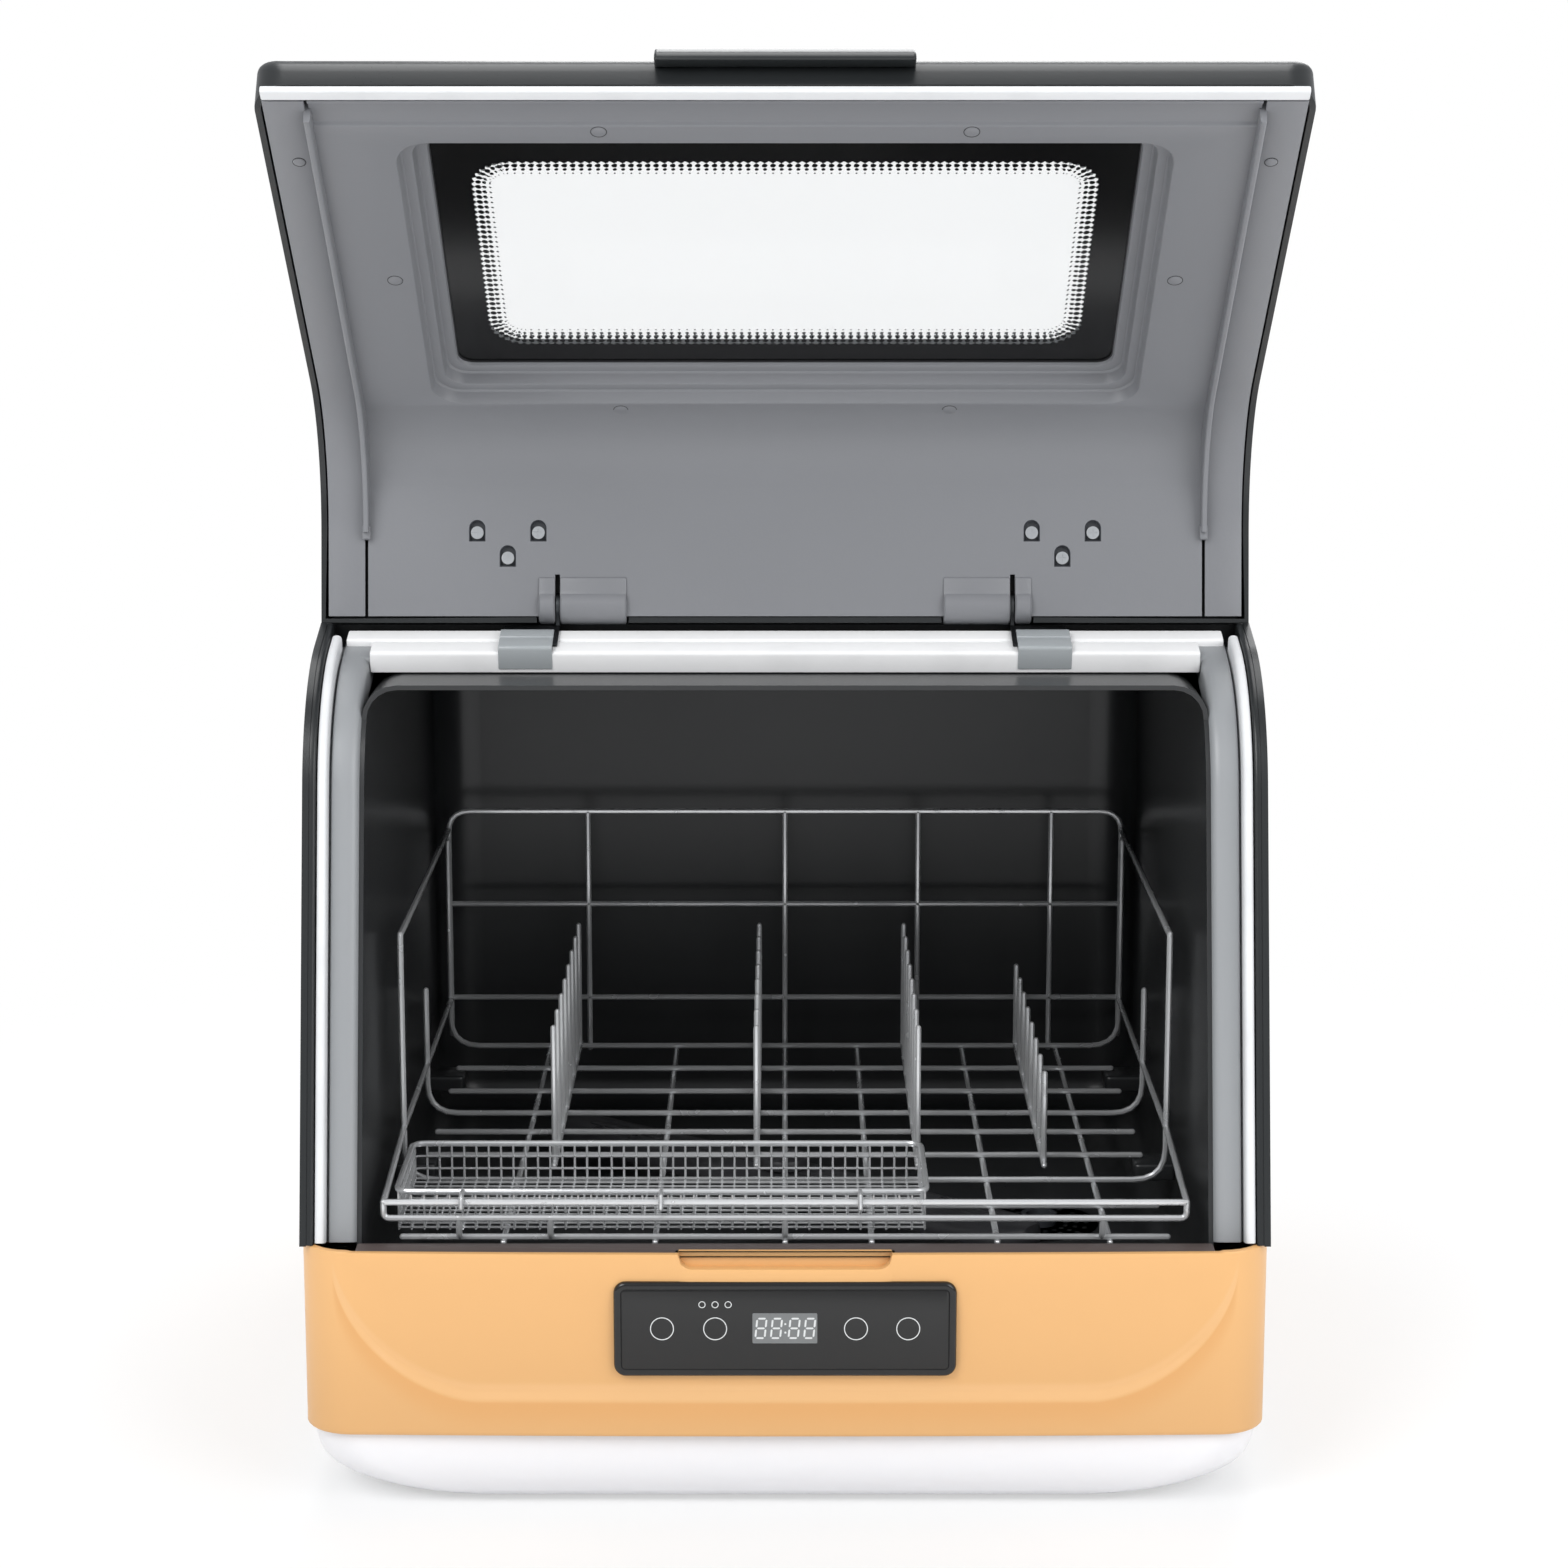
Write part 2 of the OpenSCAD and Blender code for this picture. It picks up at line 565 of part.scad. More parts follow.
module hinge_springs() color("#A9ABAD") home() both() at_pivot() difference() {
    along_x(6, spring_x[0] + 0.5, spring_x[1] - 0.5);
    along_x(pin_r + 0.4, spring_x[0], spring_x[1]);
}
module hinge_clips() color("#BABFC0") home() both() on_roof() difference() {
    block([arm_out + gap, rear_r0 - 1.8, -12], [arm_out + clip_w, rear_r0 + 19, -0.5]);
    block([arm_out, rear_r0 - 0.3, -13], [arm_out + clip_w + 1, rear_r0 + 20, foot_top + gap]);
}

// Lid, drawn closed

edge_c = lid_t - lid_edge_r;
win_s = (well_low + front_len - well_high) / 2;
well_s = (front_len - well_high - well_low) / 2;
well_x = mouth_x - well_side;
clear_w = 2 * (well_x - 2 * well_step - border_x);
clear_h = 2 * (well_s - 2 * well_step - border_s);
module lid_outline() polygon(concat(
    [on_front_line(0, 3 + gap)],
    [for (p = arc([lid_edge_r, edge_c], lid_edge_r, 180, 90, 8)) on_front_line(p[0], p[1])],
    mouth(lid_t, lid_edge_r + 1, lid_end, crown_r), back(mouth(run_gap, lip_seal_w + gap, lid_end, crown_r)),
    [on_front_line(lip_seal_w + gap, 3 + gap)]
));
module lid_hollow() polygon(concat(
    [on_front_line(shell_t, 3 + gap - 1), on_front_line(shell_t, edge_c + 1)],
    mouth(lid_t - shell_t, lid_edge_r, lid_end - shell_t, crown_r),
    back(mouth(-1, lip_seal_w - 1, lid_end - shell_t, crown_r))
));
module window_plan(x, s, r, z0, z1, mid = win_s) slab(z0, z1) translate([0, mid]) polygon(ring(x, -s, s, r, r));
module barrel_notch(w) both() on_roof()
    block([barrels[0][0] - w, lid_end - shell_t - 1, -1], [barrels[1][1] + w, lid_end + 1, lid_t - shell_t - 3]);
module lid_shell() color("#2B2F30") opened() difference() {
    across(-body_w / 2, body_w / 2) lid_outline();
    across(-body_w / 2 + shell_t, body_w / 2 - shell_t) lid_hollow();
    on_front() window_plan(clear_w / 2 + 6, clear_h / 2 + 6, 20, lid_t - shell_t - 1, lid_t + 1, win_s + 3);
    barrel_notch(1);
}
liner_x = body_w / 2 - shell_t - 0.3;
rib_x = mouth_x + 2;
liner_end = lid_end - shell_t - gap;
screw_marks = [[146, 46], [117, 46], [131.5, 58]];
plug_marks = [[78, win_s - well_s - 8], [well_x + 9, win_s], [77, win_s + well_s + 5.6]];
strip_mark = 47;
module lid_liner() color("#818286") opened() difference() {
    union() {
        across(-rib_x - 1, rib_x + 1) band(0, liner_t, lip_seal_w + gap, liner_end, liner_r);
        both() across(rib_x, liner_x) band(lap, liner_t + lap, lip_seal_w + gap + lap, liner_end - lap, crown_r);
        both() across(rib_x, rib_x + 3) band(-rib_h, 9, 13, rear_r0 - 1, crown_r);
        on_front() window_plan(well_x + 2.5, well_s + 2.5, well_r + 2.5, 0.5, well_back);
        both() at_pivot() for (b = barrels) along_x(barrel_r, b[0], b[1]);
        on_roof() both() for (b = barrels) block([b[0], lid_end - 14, 0], [b[1], hinge_run, hinge_rise + 3]);
    }
    on_front() {
        window_plan(well_x, well_s, well_r, -1, well_d / 2);
        window_plan(well_x - well_step, well_s - well_step, well_r - 3, -1, well_d);
        window_plan(well_x - 2 * well_step, well_s - 2 * well_step, well_r - 6, -1, well_d + 3);
        for (m = plug_marks) both() translate([m[0], m[1], 0]) up(3, -1, 1.2);
    }
    // Slots for the hinge arms, bores for the pins, room for the springs
    both() {
        on_roof() block([arm_in - gap + run_gap, lid_end - 10, -1], [arm_out + gap - run_gap, lid_end + 20, lid_t]);
        at_pivot() along_x(pin_r + run_gap, barrels[0][0] - 4, barrels[1][1] + 4);
        at_pivot() along_x(6.6, spring_x[0], spring_x[1]);
        on_roof() for (m = screw_marks) translate([m[0], m[1], 0]) up(3.8, -1, 1.2);
        on_front() translate([rib_x + 9, strip_mark, 0]) up(3, -1, 1);
    }
}
well_back = well_d + 1.8;
glass_z = well_back + 0.6;
glass_x = well_x - 6;
glass_s = well_s - 6;
module window_glass() color([0.86, 0.89, 0.9, 0.35]) opened() on_front()
    window_plan(glass_x, glass_s, 12, glass_z, glass_z + glass_t);
module window_gasket() color("#1C1D1E") opened() on_front() difference() {
    window_plan(glass_x, glass_s, 12, well_back, glass_z);
    window_plan(well_x - 2 * well_step, well_s - 2 * well_step, 7, 0, glass_z + 1);
}
module lid_front_seal() color("#D9DBDD") opened() on_front()
    block([-liner_x, 0.3, 0.2], [liner_x, lip_seal_w, 3]);
module lid_handle() color("#202224") opened() across(-handle_w / 2, handle_w / 2) polygon(concat(
    [for (p = [[-handle_l, edge_c + 3.5], [-handle_l, edge_c + 8], [-3, lid_t + 1.2], [lid_edge_r + 6, lid_t + 1.6],
        [lid_edge_r + 6, lid_t + 0.1]]) on_front_line(p[0], p[1])],
    [for (p = arc([lid_edge_r, edge_c], lid_edge_r + 0.1, 90, 163, 8)) on_front_line(p[0], p[1])]
));
module pan_screw(r, h) difference() {
    up(r, -h, 0, 24);
    block([-r * 0.6, -0.35, -h - 1], [r * 0.6, 0.35, -h * 0.5]);
    block([-0.35, -r * 0.6, -h - 1], [0.35, r * 0.6, -h * 0.5]);
}
module lid_screws() color("#C9CBCD") opened() both() {
    on_roof() for (m = screw_marks) translate([m[0], m[1], 1.2]) pan_screw(3, 1.2);
    on_front() translate([rib_x + 9, strip_mark, 1]) pan_screw(2.6, 1);
}
module lid_plugs() color("#77787C") opened() on_front() both()
    for (m = plug_marks) translate([m[0], m[1], 0]) up(2.8, -0.2, 1.2, 32);
module lid_magnet() color("#8B8D8F") opened() on_front()
    block([-liner_x + 4, 20, liner_t + gap], [-liner_x + 10, 40, liner_t + gap + 4]);
module lid_switch() color("#303234") home()
    block([-rail_x - 4, 12 + tub_y, sill_h + 12], [-tub_x - tub_t - 3, 20 + tub_y, sill_h + 30]);

// Spray arm, filter and the machinery under the tub

arm_h = 10;
riser_r = 6;
arm_tip = arm_l / 2 - arm_w / 2;
nozzle_in = 12.5;
nozzle_p = 25;
nozzles = [for (side = [-1, 1], i = [0:3]) side * (arm_tip - nozzle_in - nozzle_p * i)];
module at_arm() home() translate([0, arm_y, 0]) children();
module spray_arm() color("#37383A") at_arm() rotate([0, 0, arm_a]) difference() {
    union() {
        block([-arm_tip, -arm_w / 2, arm_z], [arm_tip, arm_w / 2, arm_z + arm_h]);
        for (x = [-arm_tip, arm_tip]) translate([x, 0, 0]) up(arm_w / 2, arm_z, arm_z + arm_h);
    }
    block([-arm_tip, -arm_w / 2 + 2, arm_z + 2], [arm_tip, arm_w / 2 - 2, arm_z + arm_h - 2]);
    up(riser_r + run_gap, arm_z - 1, arm_z + arm_h + 1);
    for (x = nozzles) translate([x, sign(x) * arm_w / 6, 0]) up(1.6, arm_z + 5, arm_z + 11, 24);
}
riser_low = tub_z - 7;
module spray_riser() color("#4A4B4D") at_arm() difference() {
    union() {
        up(9, riser_low, arm_z - gap);
        up(riser_r, arm_z - 1, arm_z + arm_h + 4);
        up(14, tub_z, tub_z + 2.5);
    }
    up(4.4, riser_low - 1, arm_z + arm_h + 2);
}
module spray_hub() color("#4E4F52") at_arm() difference() {
    up(13, arm_z + arm_h + gap, arm_z + arm_h + 7);
    up(riser_r + 0.01, arm_z + arm_h - 1, arm_z + arm_h + 4);
}

cup_r = filter_r - 6;
sump_top = tub_z - 10;
sump_low = tub_z - 10 - cup_h - 4;
module at_filter() home() translate([filter_x, filter_y, 0]) children();
module filter_cover() color("#5B5C5F") at_filter() difference() {
    union() {
        up(filter_r, tub_z - 2.5, tub_z);
        up(9, tub_z - 1, tub_z + 5);
    }
    for (a = [0:20:359]) rotate([0, 0, a]) for (r = [14, 19, 24]) translate([r, 0, 0]) up(1.3, tub_z - 3, tub_z + 1, 16);
    up(6.5, tub_z + 1, tub_z + 6);
}
module filter_cup() color("#8E9092") at_filter() difference() {
    up(cup_r, tub_z - 2.5 - cup_h, tub_z - 2.5);
    up(cup_r - 1.5, tub_z - 1 - cup_h, tub_z - 2);
    for (a = [0:30:359], z = [6:6:18]) rotate([0, 0, a]) translate([0, 0, tub_z - 3 - cup_h + z]) along_x(1.5, cup_r - 4, cup_r + 2, 16);
}
sump_r = filter_r + 2;
module sump() color("#3C3E41") at_filter() difference() {
    union() {
        up(sump_r, sump_low, tub_z - 5 - gap);
        translate([0, 0, pump_z]) along_x(10, -sump_r - 10, 0);
        translate([0, 0, pump_z]) along_y(8, 0, sump_r + 14);
    }
    up(sump_r - 2.5, sump_low + 2.5, tub_z);
    translate([0, 0, pump_z]) along_x(7.5, -sump_r - 11, 0);
    translate([0, 0, pump_z]) along_y(5.5, 0, sump_r + 15);
}

// Each pump is a housing with a closed back, a motor and an impeller on the motor's shaft
module housing_of(r, l, shaft_r) difference() {
    along_x(r, 0, l);
    along_x(r - 2.5, 2.5, l - 2.5);
    along_x(7.5, l - 3, l + 1);
    along_x(shaft_r + 0.5, -1, 3);
}
module motor_of(r, l, shaft_r, shaft_l) {
    along_x(r, -l, -gap);
    along_x(r - 8, -l - 6, -l + 1);
    along_x(shaft_r, -1, shaft_l);
}
module impeller_of(r, shaft_r, x0, x1) difference() {
    union() {
        along_x(r, x0, x0 + 1.6);
        along_x(shaft_r + 3, x0, x1);
        for (a = [0:60:359]) rotate([a, 0, 0]) block([x0, shaft_r + 1, -0.8], [x1, r - 1, 0.8]);
    }
    along_x(shaft_r + run_gap, x0 - 1, x1 + 1);
}
wash_pos = [filter_x - sump_r - 10 - 26 - gap, filter_y, pump_z];
wash_r = 24;
drain_pos = [filter_x, filter_y + sump_r + 14 + 22 + gap, pump_z];
module at_wash() home() translate(wash_pos) children();
module at_drain() home() translate(drain_pos) rotate([0, 0, -90]) children();
module wash_pump_housing() color("#45474B") at_wash() difference() {
    union() {
        housing_of(wash_r, 26, 3);
        translate([13, 0, 0]) along_y(9, wash_r - 3, wash_r + 7);
    }
    translate([13, 0, 0]) along_y(6.5, wash_r - 5, wash_r + 8);
}
module wash_pump_motor() color("#9EA1A4") at_wash() motor_of(wash_r - 2, 62, 3, 20);
module wash_pump_impeller() color("#D9D9D6") at_wash() impeller_of(wash_r - 5, 3, 5, 18);
module drain_pump_housing() color("#45474B") at_drain() difference() {
    union() {
        housing_of(drain_r0, 22, 2);
        translate([11, 0, 0]) along_y(7, drain_r0 - 3, drain_r0 + 6);
    }
    translate([11, 0, 0]) along_y(4.8, drain_r0 - 5, drain_r0 + 7);
}
module drain_pump_motor() color("#9EA1A4") at_drain() motor_of(drain_r0 - 2, 44, 2, 16);
module drain_pump_impeller() color("#D9D9D6") at_drain() impeller_of(drain_r0 - 5, 2, 4, 14);

// Heater in the line between the wash pump and the spray arm, on two saddles
heater_l = 100;
heater_pos = [wash_pos[0] + 13, wash_pos[1] + wash_r + 7 + gap, wash_pos[2]];
tray_z = foot_h + shell_t;
module heater() color("#B4B6B8") home() translate(heater_pos) difference() {
    union() {
        along_y(13, 0, heater_l);
        for (y = [20, heater_l - 28]) block([-10, y, tray_z - heater_pos[2]], [10, y + 8, -8]);
    }
    along_y(11, 2, heater_l - 2);
    along_y(6.5, -1, heater_l + 1);
}

// Fan over the tub roof, blowing through a duct into the tub
fan_h = 26;
fan_z = tub_top + tub_t + 6;
fan_r = 46;
module at_fan() home() translate([duct_pos[0] + 50, duct_pos[1] - 40, fan_z]) children();
module fan_housing() color("#3E4044") at_fan() difference() {
    union() {
        up(fan_r + 4, 0, fan_h);
        block([-fan_r - 4 - 14, 24, 0], [-20, fan_r + 4, fan_h]);
        for (a = [10:90:359]) rotate([0, 0, a]) translate([fan_r - 2, 0, 0]) up(5, -6, 1);
    }
    up(fan_r + 1.5, 2.5, fan_h - 2.5);
    block([-fan_r - 4 - 11, 27, 2.5], [-20, fan_r + 1, fan_h - 2.5]);
    translate([-50, 40, 0]) up(duct_r - 4, -1, 4);
    up(22, fan_h - 3, fan_h + 1);
}
module fan_wheel() color("#6E7074") at_fan() difference() {
    union() {
        up(fan_r - 4, 3.4, 5);
        up(6, 3.4, fan_h - 5);
        for (a = [0:24:359]) rotate([0, 0, a]) block([fan_r - 18, -0.6, 4], [fan_r - 5, 0.6, fan_h - 6]);
    }
    up(3 + run_gap, 2, fan_h);
}
module fan_duct() color("#505258") home() {
    translate([duct_pos[0], duct_pos[1], 0]) difference() {
        up(duct_r, tub_top - 3, fan_z);
        up(duct_r - 2, tub_top - 4, fan_z + 1);
    }
    // Spindle that the fan wheel turns on
    translate([duct_pos[0] + 50, duct_pos[1] - 40, fan_z]) up(3, 2.5, fan_h - 2.5);
}
module power_board() color("#2E6B45") home() translate([40, 200, tub_top + tub_t]) {
    block([0, 0, 5], [130, 160, 6.6]);
    for (x = [6, 124], y = [6, 154]) translate([x, y, 0]) up(3, 0, 5);
    block([14, 20, 6.6], [44, 60, 30]);
    block([60, 30, 6.6], [84, 50, 24]);
    block([96, 90, 6.6], [120, 130, 28]);
    for (i = [0:2]) translate([30 + i * 20, 110, 0]) up(7, 6.6, 26);
}

// Connections in the back of the lower casing
module at_port(i) home() translate([ports[i][0], body_d, port_z]) children();
module inlet_valve() color("#C9C9C4") at_port(0) difference() {
    union() {
        along_y(inlet_r - 0.6, -shell_t - 1, neck_l + 1);
        along_y(inlet_r, neck_l, inlet_l);
        along_y(inlet_r + 4, -shell_t - 22, -shell_t);
        block([-12, -shell_t - 30, -12], [12, -shell_t - 20, 12]);
    }
    along_y(inlet_r - 4, -10, inlet_l + 1);
}
module drain_outlet() color("#8F9194") at_port(1) difference() {
    union() {
        along_y(drain_r - 0.6, -shell_t - 1, neck_l + 1);
        along_y(drain_r, neck_l, drain_l);
        along_y(drain_r + 6, -shell_t - 14, -shell_t);
    }
    along_y(drain_r - 2.5, -shell_t - 15, drain_l + 1);
}
module power_gland() color("#1F2022") at_port(2) difference() {
    union() {
        along_y(9, -shell_t - 1, 1);
        along_y(12, 0, 6);
        along_y(11.5, -shell_t - 6, -shell_t);
    }
    along_y(4, -shell_t - 7, 7);
}
// Hoses run straight between round bends; each is drawn filled, with eight sides
function bend(c, u, v, n = 4) = [for (i = [0:n]) c + bend_r * (u * cos(90 * i / n) + v * sin(90 * i / n))];
module hoses() color("#55575C") home() {
    // From the heater's end round to the riser under the spray arm
    y0 = heater_pos[1] + heater_l + gap;
    y1 = y0 + 2;
    z = pump_z;
    path(concat(
        [[heater_pos[0], y0, z]], bend([heater_pos[0] - bend_r, y1, z], [1, 0, 0], [0, 1, 0]),
        bend([bend_r, y1, z], [0, 1, 0], [-1, 0, 0]),
        bend([0, arm_y + bend_r, z + bend_r], [0, 0, -1], [0, -1, 0]), [[0, arm_y, riser_low - gap]]
    ), 7.5);
    // From the drain pump's side to the outlet in the back
    d = [drain_pos[0] + drain_r0 + 6 + gap, drain_pos[1] - 11, z];
    y2 = body_d - shell_t - 14 - gap;
    path(concat([d], bend([d[0] + 1.4, d[1] + bend_r, z], [0, -1, 0], [1, 0, 0]),
        [[drain_x, y2 - 40, z], [drain_x, y2 - 12, port_z], [drain_x, y2, port_z]]), 6.5);
}

// Dish rack of round wires, drawn as eight-sided ones

rack_x = tub_x - rack_side - wr;
u_rows = [119, 234, rack_back - 5];
floor_front = rack_front + 5;
rail_z = sill_h + rail_h;
rear_z = rack_z + rack_wall_h;
side_z = rack_z + rack_side_h;
// One straight wire from p to q
module wire(p, q, r = wr) {
    v = q - p;
    a = acos(v[2] / norm(v));
    b = atan2(v[1], v[0]);
    translate(p) rotate([0, a, b]) cylinder(r = r, h = norm(v), $fn = 8);
}
module path(points, r = wr) for (i = [0:len(points) - 2]) wire(points[i], points[i + 1], r);
module rack_floor() color("#C2C5C7") home() {
    xs = [-130, -60, 0, 40, 98, 150];
    for (x = xs) wire([x, floor_front, rack_z], [x, rack_back, rack_z]);
    for (y = [floor_front, 78, 160, 200, 275, 320]) wire([-rack_x + 8, y, rack_z + weld], [rack_x - 8, y, rack_z + weld]);
    for (y = u_rows) wire([-rack_x + 16, y, rack_z + weld], [rack_x - 16, y, rack_z + weld]);
}
module rack_rear() color("#C2C5C7") home() {
    y = rack_back;
    for (z = [29, 82]) wire([-rack_x + 2, y, rack_z + z], [rack_x - 2, y, rack_z + z]);
    path([[-rack_x, y, rear_z - 12], [-rack_x + 12, y, rear_z], [rack_x - 12, y, rear_z], [rack_x, y, rear_z - 12]]);
    for (x = [-108, 0, 73, 146]) wire([x, y, rack_z], [x, y, rear_z]);
    for (s = [-1, 1]) wire([s * rack_x, y, rack_z + 8], [s * rack_x, y, rear_z - 12]);
}
module rack_sides() color("#C2C5C7") home() both() {
    low = rack_z + weld;
    arms = [side_z, rack_z + 68, rear_z - 16];
    for (i = [0:2]) path([[rack_x - 16, u_rows[i], low], [rack_x, u_rows[i], low + 16], [rack_x, u_rows[i], arms[i]]]);
    path([[rack_x, u_rows[0], side_z], [rack_x, rack_back - wire_d, rear_z - 10]]);
    path([[rack_x, rack_front + wire_d, rail_z], [rack_x, u_rows[0], rack_z + 29],
        [rack_x, rack_back - wire_d, rack_z + 29]]);
}
module rack_front() color("#C2C5C7") home() {
    for (z = [rail_z, rail_z - 7.6]) wire([-rack_x, rack_front, z], [rack_x, rack_front, z]);
    for (x = [-150, -108, 0, 146]) wire([x, rack_front, rail_z - 7.6], [x, floor_front - 1, rack_z + weld + 1]);
    both() path([[rack_x, rack_front, rail_z - 7.6], [rack_x, rack_front, rail_z]]);
}
tine_x = [-113, -14, 65, 127];
tine_y0 = 140;
module rack_tines() color("#C2C5C7") home() for (i = [0:3]) {
    x = tine_x[i];
    h = i == 3 ? tine_h - 23 : tine_h;
    pitch = (rack_back - 14 - tine_y0) / (tine_n - 1);
    z = rack_z + 2 * weld;
    wire([x, tine_y0 - 6, z], [x, rack_back - 6, z]);
    for (k = [0:tine_n - 1]) wire([x, tine_y0 + k * pitch, z], [x, tine_y0 + k * pitch, rack_z + h]);
}

// Cutlery basket of wire mesh that hangs on the front rail

basket_y = rack_front + 9;
basket_x0 = -rack_x + 5.5;
basket_low = rack_z + weld + wr + gap;
net_in = 4;
module mesh(w, d) {
    difference() { square([w, d]); translate([mesh_d, mesh_d]) square([w - 2 * mesh_d, d - 2 * mesh_d]); }
    for (i = [1:floor(w / mesh_p) - 1]) translate([i * w / floor(w / mesh_p) - mesh_d / 2, 0]) square([mesh_d, d]);
    for (i = [1:floor(d / mesh_p) - 1]) translate([0, i * d / floor(d / mesh_p) - mesh_d / 2]) square([w, mesh_d]);
}
module at_basket() home() translate([basket_x0, basket_y, 0]) children();
basket_top = basket_low + basket_h;
wall_z = basket_top - wr - basket_low - mesh_d;
// The nets stand in from the rim's outside
net_w = basket_w - 2 * net_in;
net_d = basket_d - 2 * net_in;
module basket_floor() color("#B9BCBE") at_basket() slab(basket_low, basket_low + mesh_d) mesh(net_w, net_d);
module basket_walls() color("#B9BCBE") at_basket() {
    z = basket_low + mesh_d;
    for (y = [mesh_d, net_d]) translate([0, y, z]) rotate([90, 0, 0]) linear_extrude(mesh_d) mesh(net_w, wall_z);
    // The short walls are nets of their own that stand between the long ones
    for (x = [0, net_w - mesh_d]) translate([x, mesh_d + lap, z]) rotate([90, 0, 90])
        linear_extrude(mesh_d) mesh(net_d - 2 * (mesh_d + lap), wall_z);
}
module basket_rim() color("#C6C9CB") at_basket() {
    z = basket_top;
    w = net_w;
    d = net_d;
    o = wr - 0.3;
    path([[-o, -o, z], [w + o, -o, z], [w + o, d + o, z], [-o, d + o, z], [-o, -o, z]]);
    // Hooks that rest on the front rail
    for (x = [30, w / 2, w - 30]) path([[x, -o, z], [x, rack_front - basket_y, rail_z + wire_d + 0.1]]);
}

base_tray();
feet();
lower_casing();
upper_casing();
front_trim();
rear_cover();
rear_cover_screws();
panel_housing();
touch_panel();
display();
control_board();
power_board();
tub();
opening_frame();
side_seals();
rear_seal();
filter_cover();
filter_cup();
spray_arm();
spray_hub();
spray_riser();
sump();
heater();
wash_pump_housing();
wash_pump_motor();
wash_pump_impeller();
drain_pump_housing();
drain_pump_motor();
drain_pump_impeller();
fan_housing();
fan_wheel();
fan_duct();
inlet_valve();
drain_outlet();
power_gland();
hoses();
lid_switch();
lid_shell();
lid_liner();
window_glass();
window_gasket();
lid_front_seal();
lid_handle();
lid_screws();
lid_plugs();
lid_magnet();
hinge_arms();
hinge_pins();
hinge_clips();
hinge_springs();
rack_floor();
rack_rear();
rack_sides();
rack_front();
rack_tines();
basket_floor();
basket_walls();
basket_rim();
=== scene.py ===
"""Countertop dishwasher with its lid open: the visible pieces, their finishes, a stage and a camera."""
import math
import bmesh
import bpy
import numpy as np
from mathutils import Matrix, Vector


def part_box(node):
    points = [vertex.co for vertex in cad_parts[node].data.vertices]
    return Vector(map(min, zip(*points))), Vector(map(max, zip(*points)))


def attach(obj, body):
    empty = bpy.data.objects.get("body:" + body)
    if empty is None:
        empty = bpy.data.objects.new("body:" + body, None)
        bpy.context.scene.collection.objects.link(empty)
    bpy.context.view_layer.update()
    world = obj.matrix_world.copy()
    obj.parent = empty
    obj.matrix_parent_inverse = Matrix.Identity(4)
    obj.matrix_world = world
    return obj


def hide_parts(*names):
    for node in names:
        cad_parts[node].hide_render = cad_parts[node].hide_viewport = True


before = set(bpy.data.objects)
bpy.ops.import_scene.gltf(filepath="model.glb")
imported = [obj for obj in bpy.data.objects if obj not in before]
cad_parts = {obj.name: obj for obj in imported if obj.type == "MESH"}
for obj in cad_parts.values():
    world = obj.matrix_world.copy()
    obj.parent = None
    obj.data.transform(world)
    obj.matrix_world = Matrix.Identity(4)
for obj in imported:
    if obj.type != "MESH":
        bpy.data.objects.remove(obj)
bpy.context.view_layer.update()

bl_info = {
    "name": "Countertop dishwasher", "version": (1, 0, 0),
    "blender": (4, 5, 0), "location": "3D View > Sidebar > Dishwasher",
    "description": "Builds the pieces of a countertop dishwasher with an open lid",
    "category": "Add Mesh",
}

MM = 0.001
APRON = 10.0
# World y of a point is its y behind the sill edge less this shift, in millimetres
SHIFT = -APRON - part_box("lower_casing")[0].y / MM
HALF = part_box("lower_casing")[1].x / MM
SILL_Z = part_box("lower_casing")[1].z / MM
BASE_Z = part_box("lower_casing")[0].z / MM
FOOT_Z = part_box("base_tray")[0].z / MM
TOP_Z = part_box("upper_casing")[1].z / MM
BACK_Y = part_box("lower_casing")[1].y / MM + SHIFT

# The mouth seen from the side: a leaning front line, a round corner and a rising roof line
FRONT = math.radians(76.4)
ROOF = math.radians(15)
FRONT_LEN = 254.5
CROWN = 77.0
HINGE_RUN = 80.8
HINGE_RISE = 4.8
OPEN = math.radians(115.5)
LID_END = HINGE_RUN + 8
LID_T = 22.0
LINER_END = LID_END - 3.2
MOUTH_X = 194.7
RAIL_X = 207.6
RAIL_0 = 47.0
RAIL_1 = HINGE_RUN - 7
CHANNEL_Y = 158.6
CHANNEL_Z = 377.75
# Where a cheek's edge leaves the mouth line, and the circles that the lid's end sweeps round the pivot
CHEEK_RUN = 72.45
UNDER_R = 9.63
SWEPT_R = 20.17
QUARTER = math.pi / 2
# Middles of the window's opening and of the liner's well up the front line, and their half sizes
OPENING_S, OPENING_X, OPENING_H = 134.0, 141.0, 72.5
WELL_S, WELL_X, WELL_H = 131.0, 158, 90
DOT_PITCH = 3.6
# The lip's line is level through the middle and bends up to its top over a run at each end
LIP_TOP, LIP_RUN, LIP_BEND = 123, 65, 1.6
SPRAY_Y = 205


def heading(angle):
    """Unit vector (cos, sin) of an angle, or of an array of angles."""
    return np.stack([np.cos(angle), np.sin(angle)], -1)


SILL = np.array([0.0, SILL_Z])
CORNER = SILL + FRONT_LEN * heading(FRONT)


def front_at(s, d):
    """Point s up the front line and d out of it, as (y, z)."""
    s, d = np.broadcast_arrays(np.asarray(s, float), np.asarray(d, float))
    return SILL + s[..., None] * heading(FRONT) + d[..., None] * heading(FRONT + QUARTER)


def roof_at(r, d):
    """Point r along the roof line behind the corner and d out of it, as (y, z)."""
    r, d = np.broadcast_arrays(np.asarray(r, float), np.asarray(d, float))
    return CORNER + r[..., None] * heading(ROOF) + d[..., None] * heading(ROOF + QUARTER)


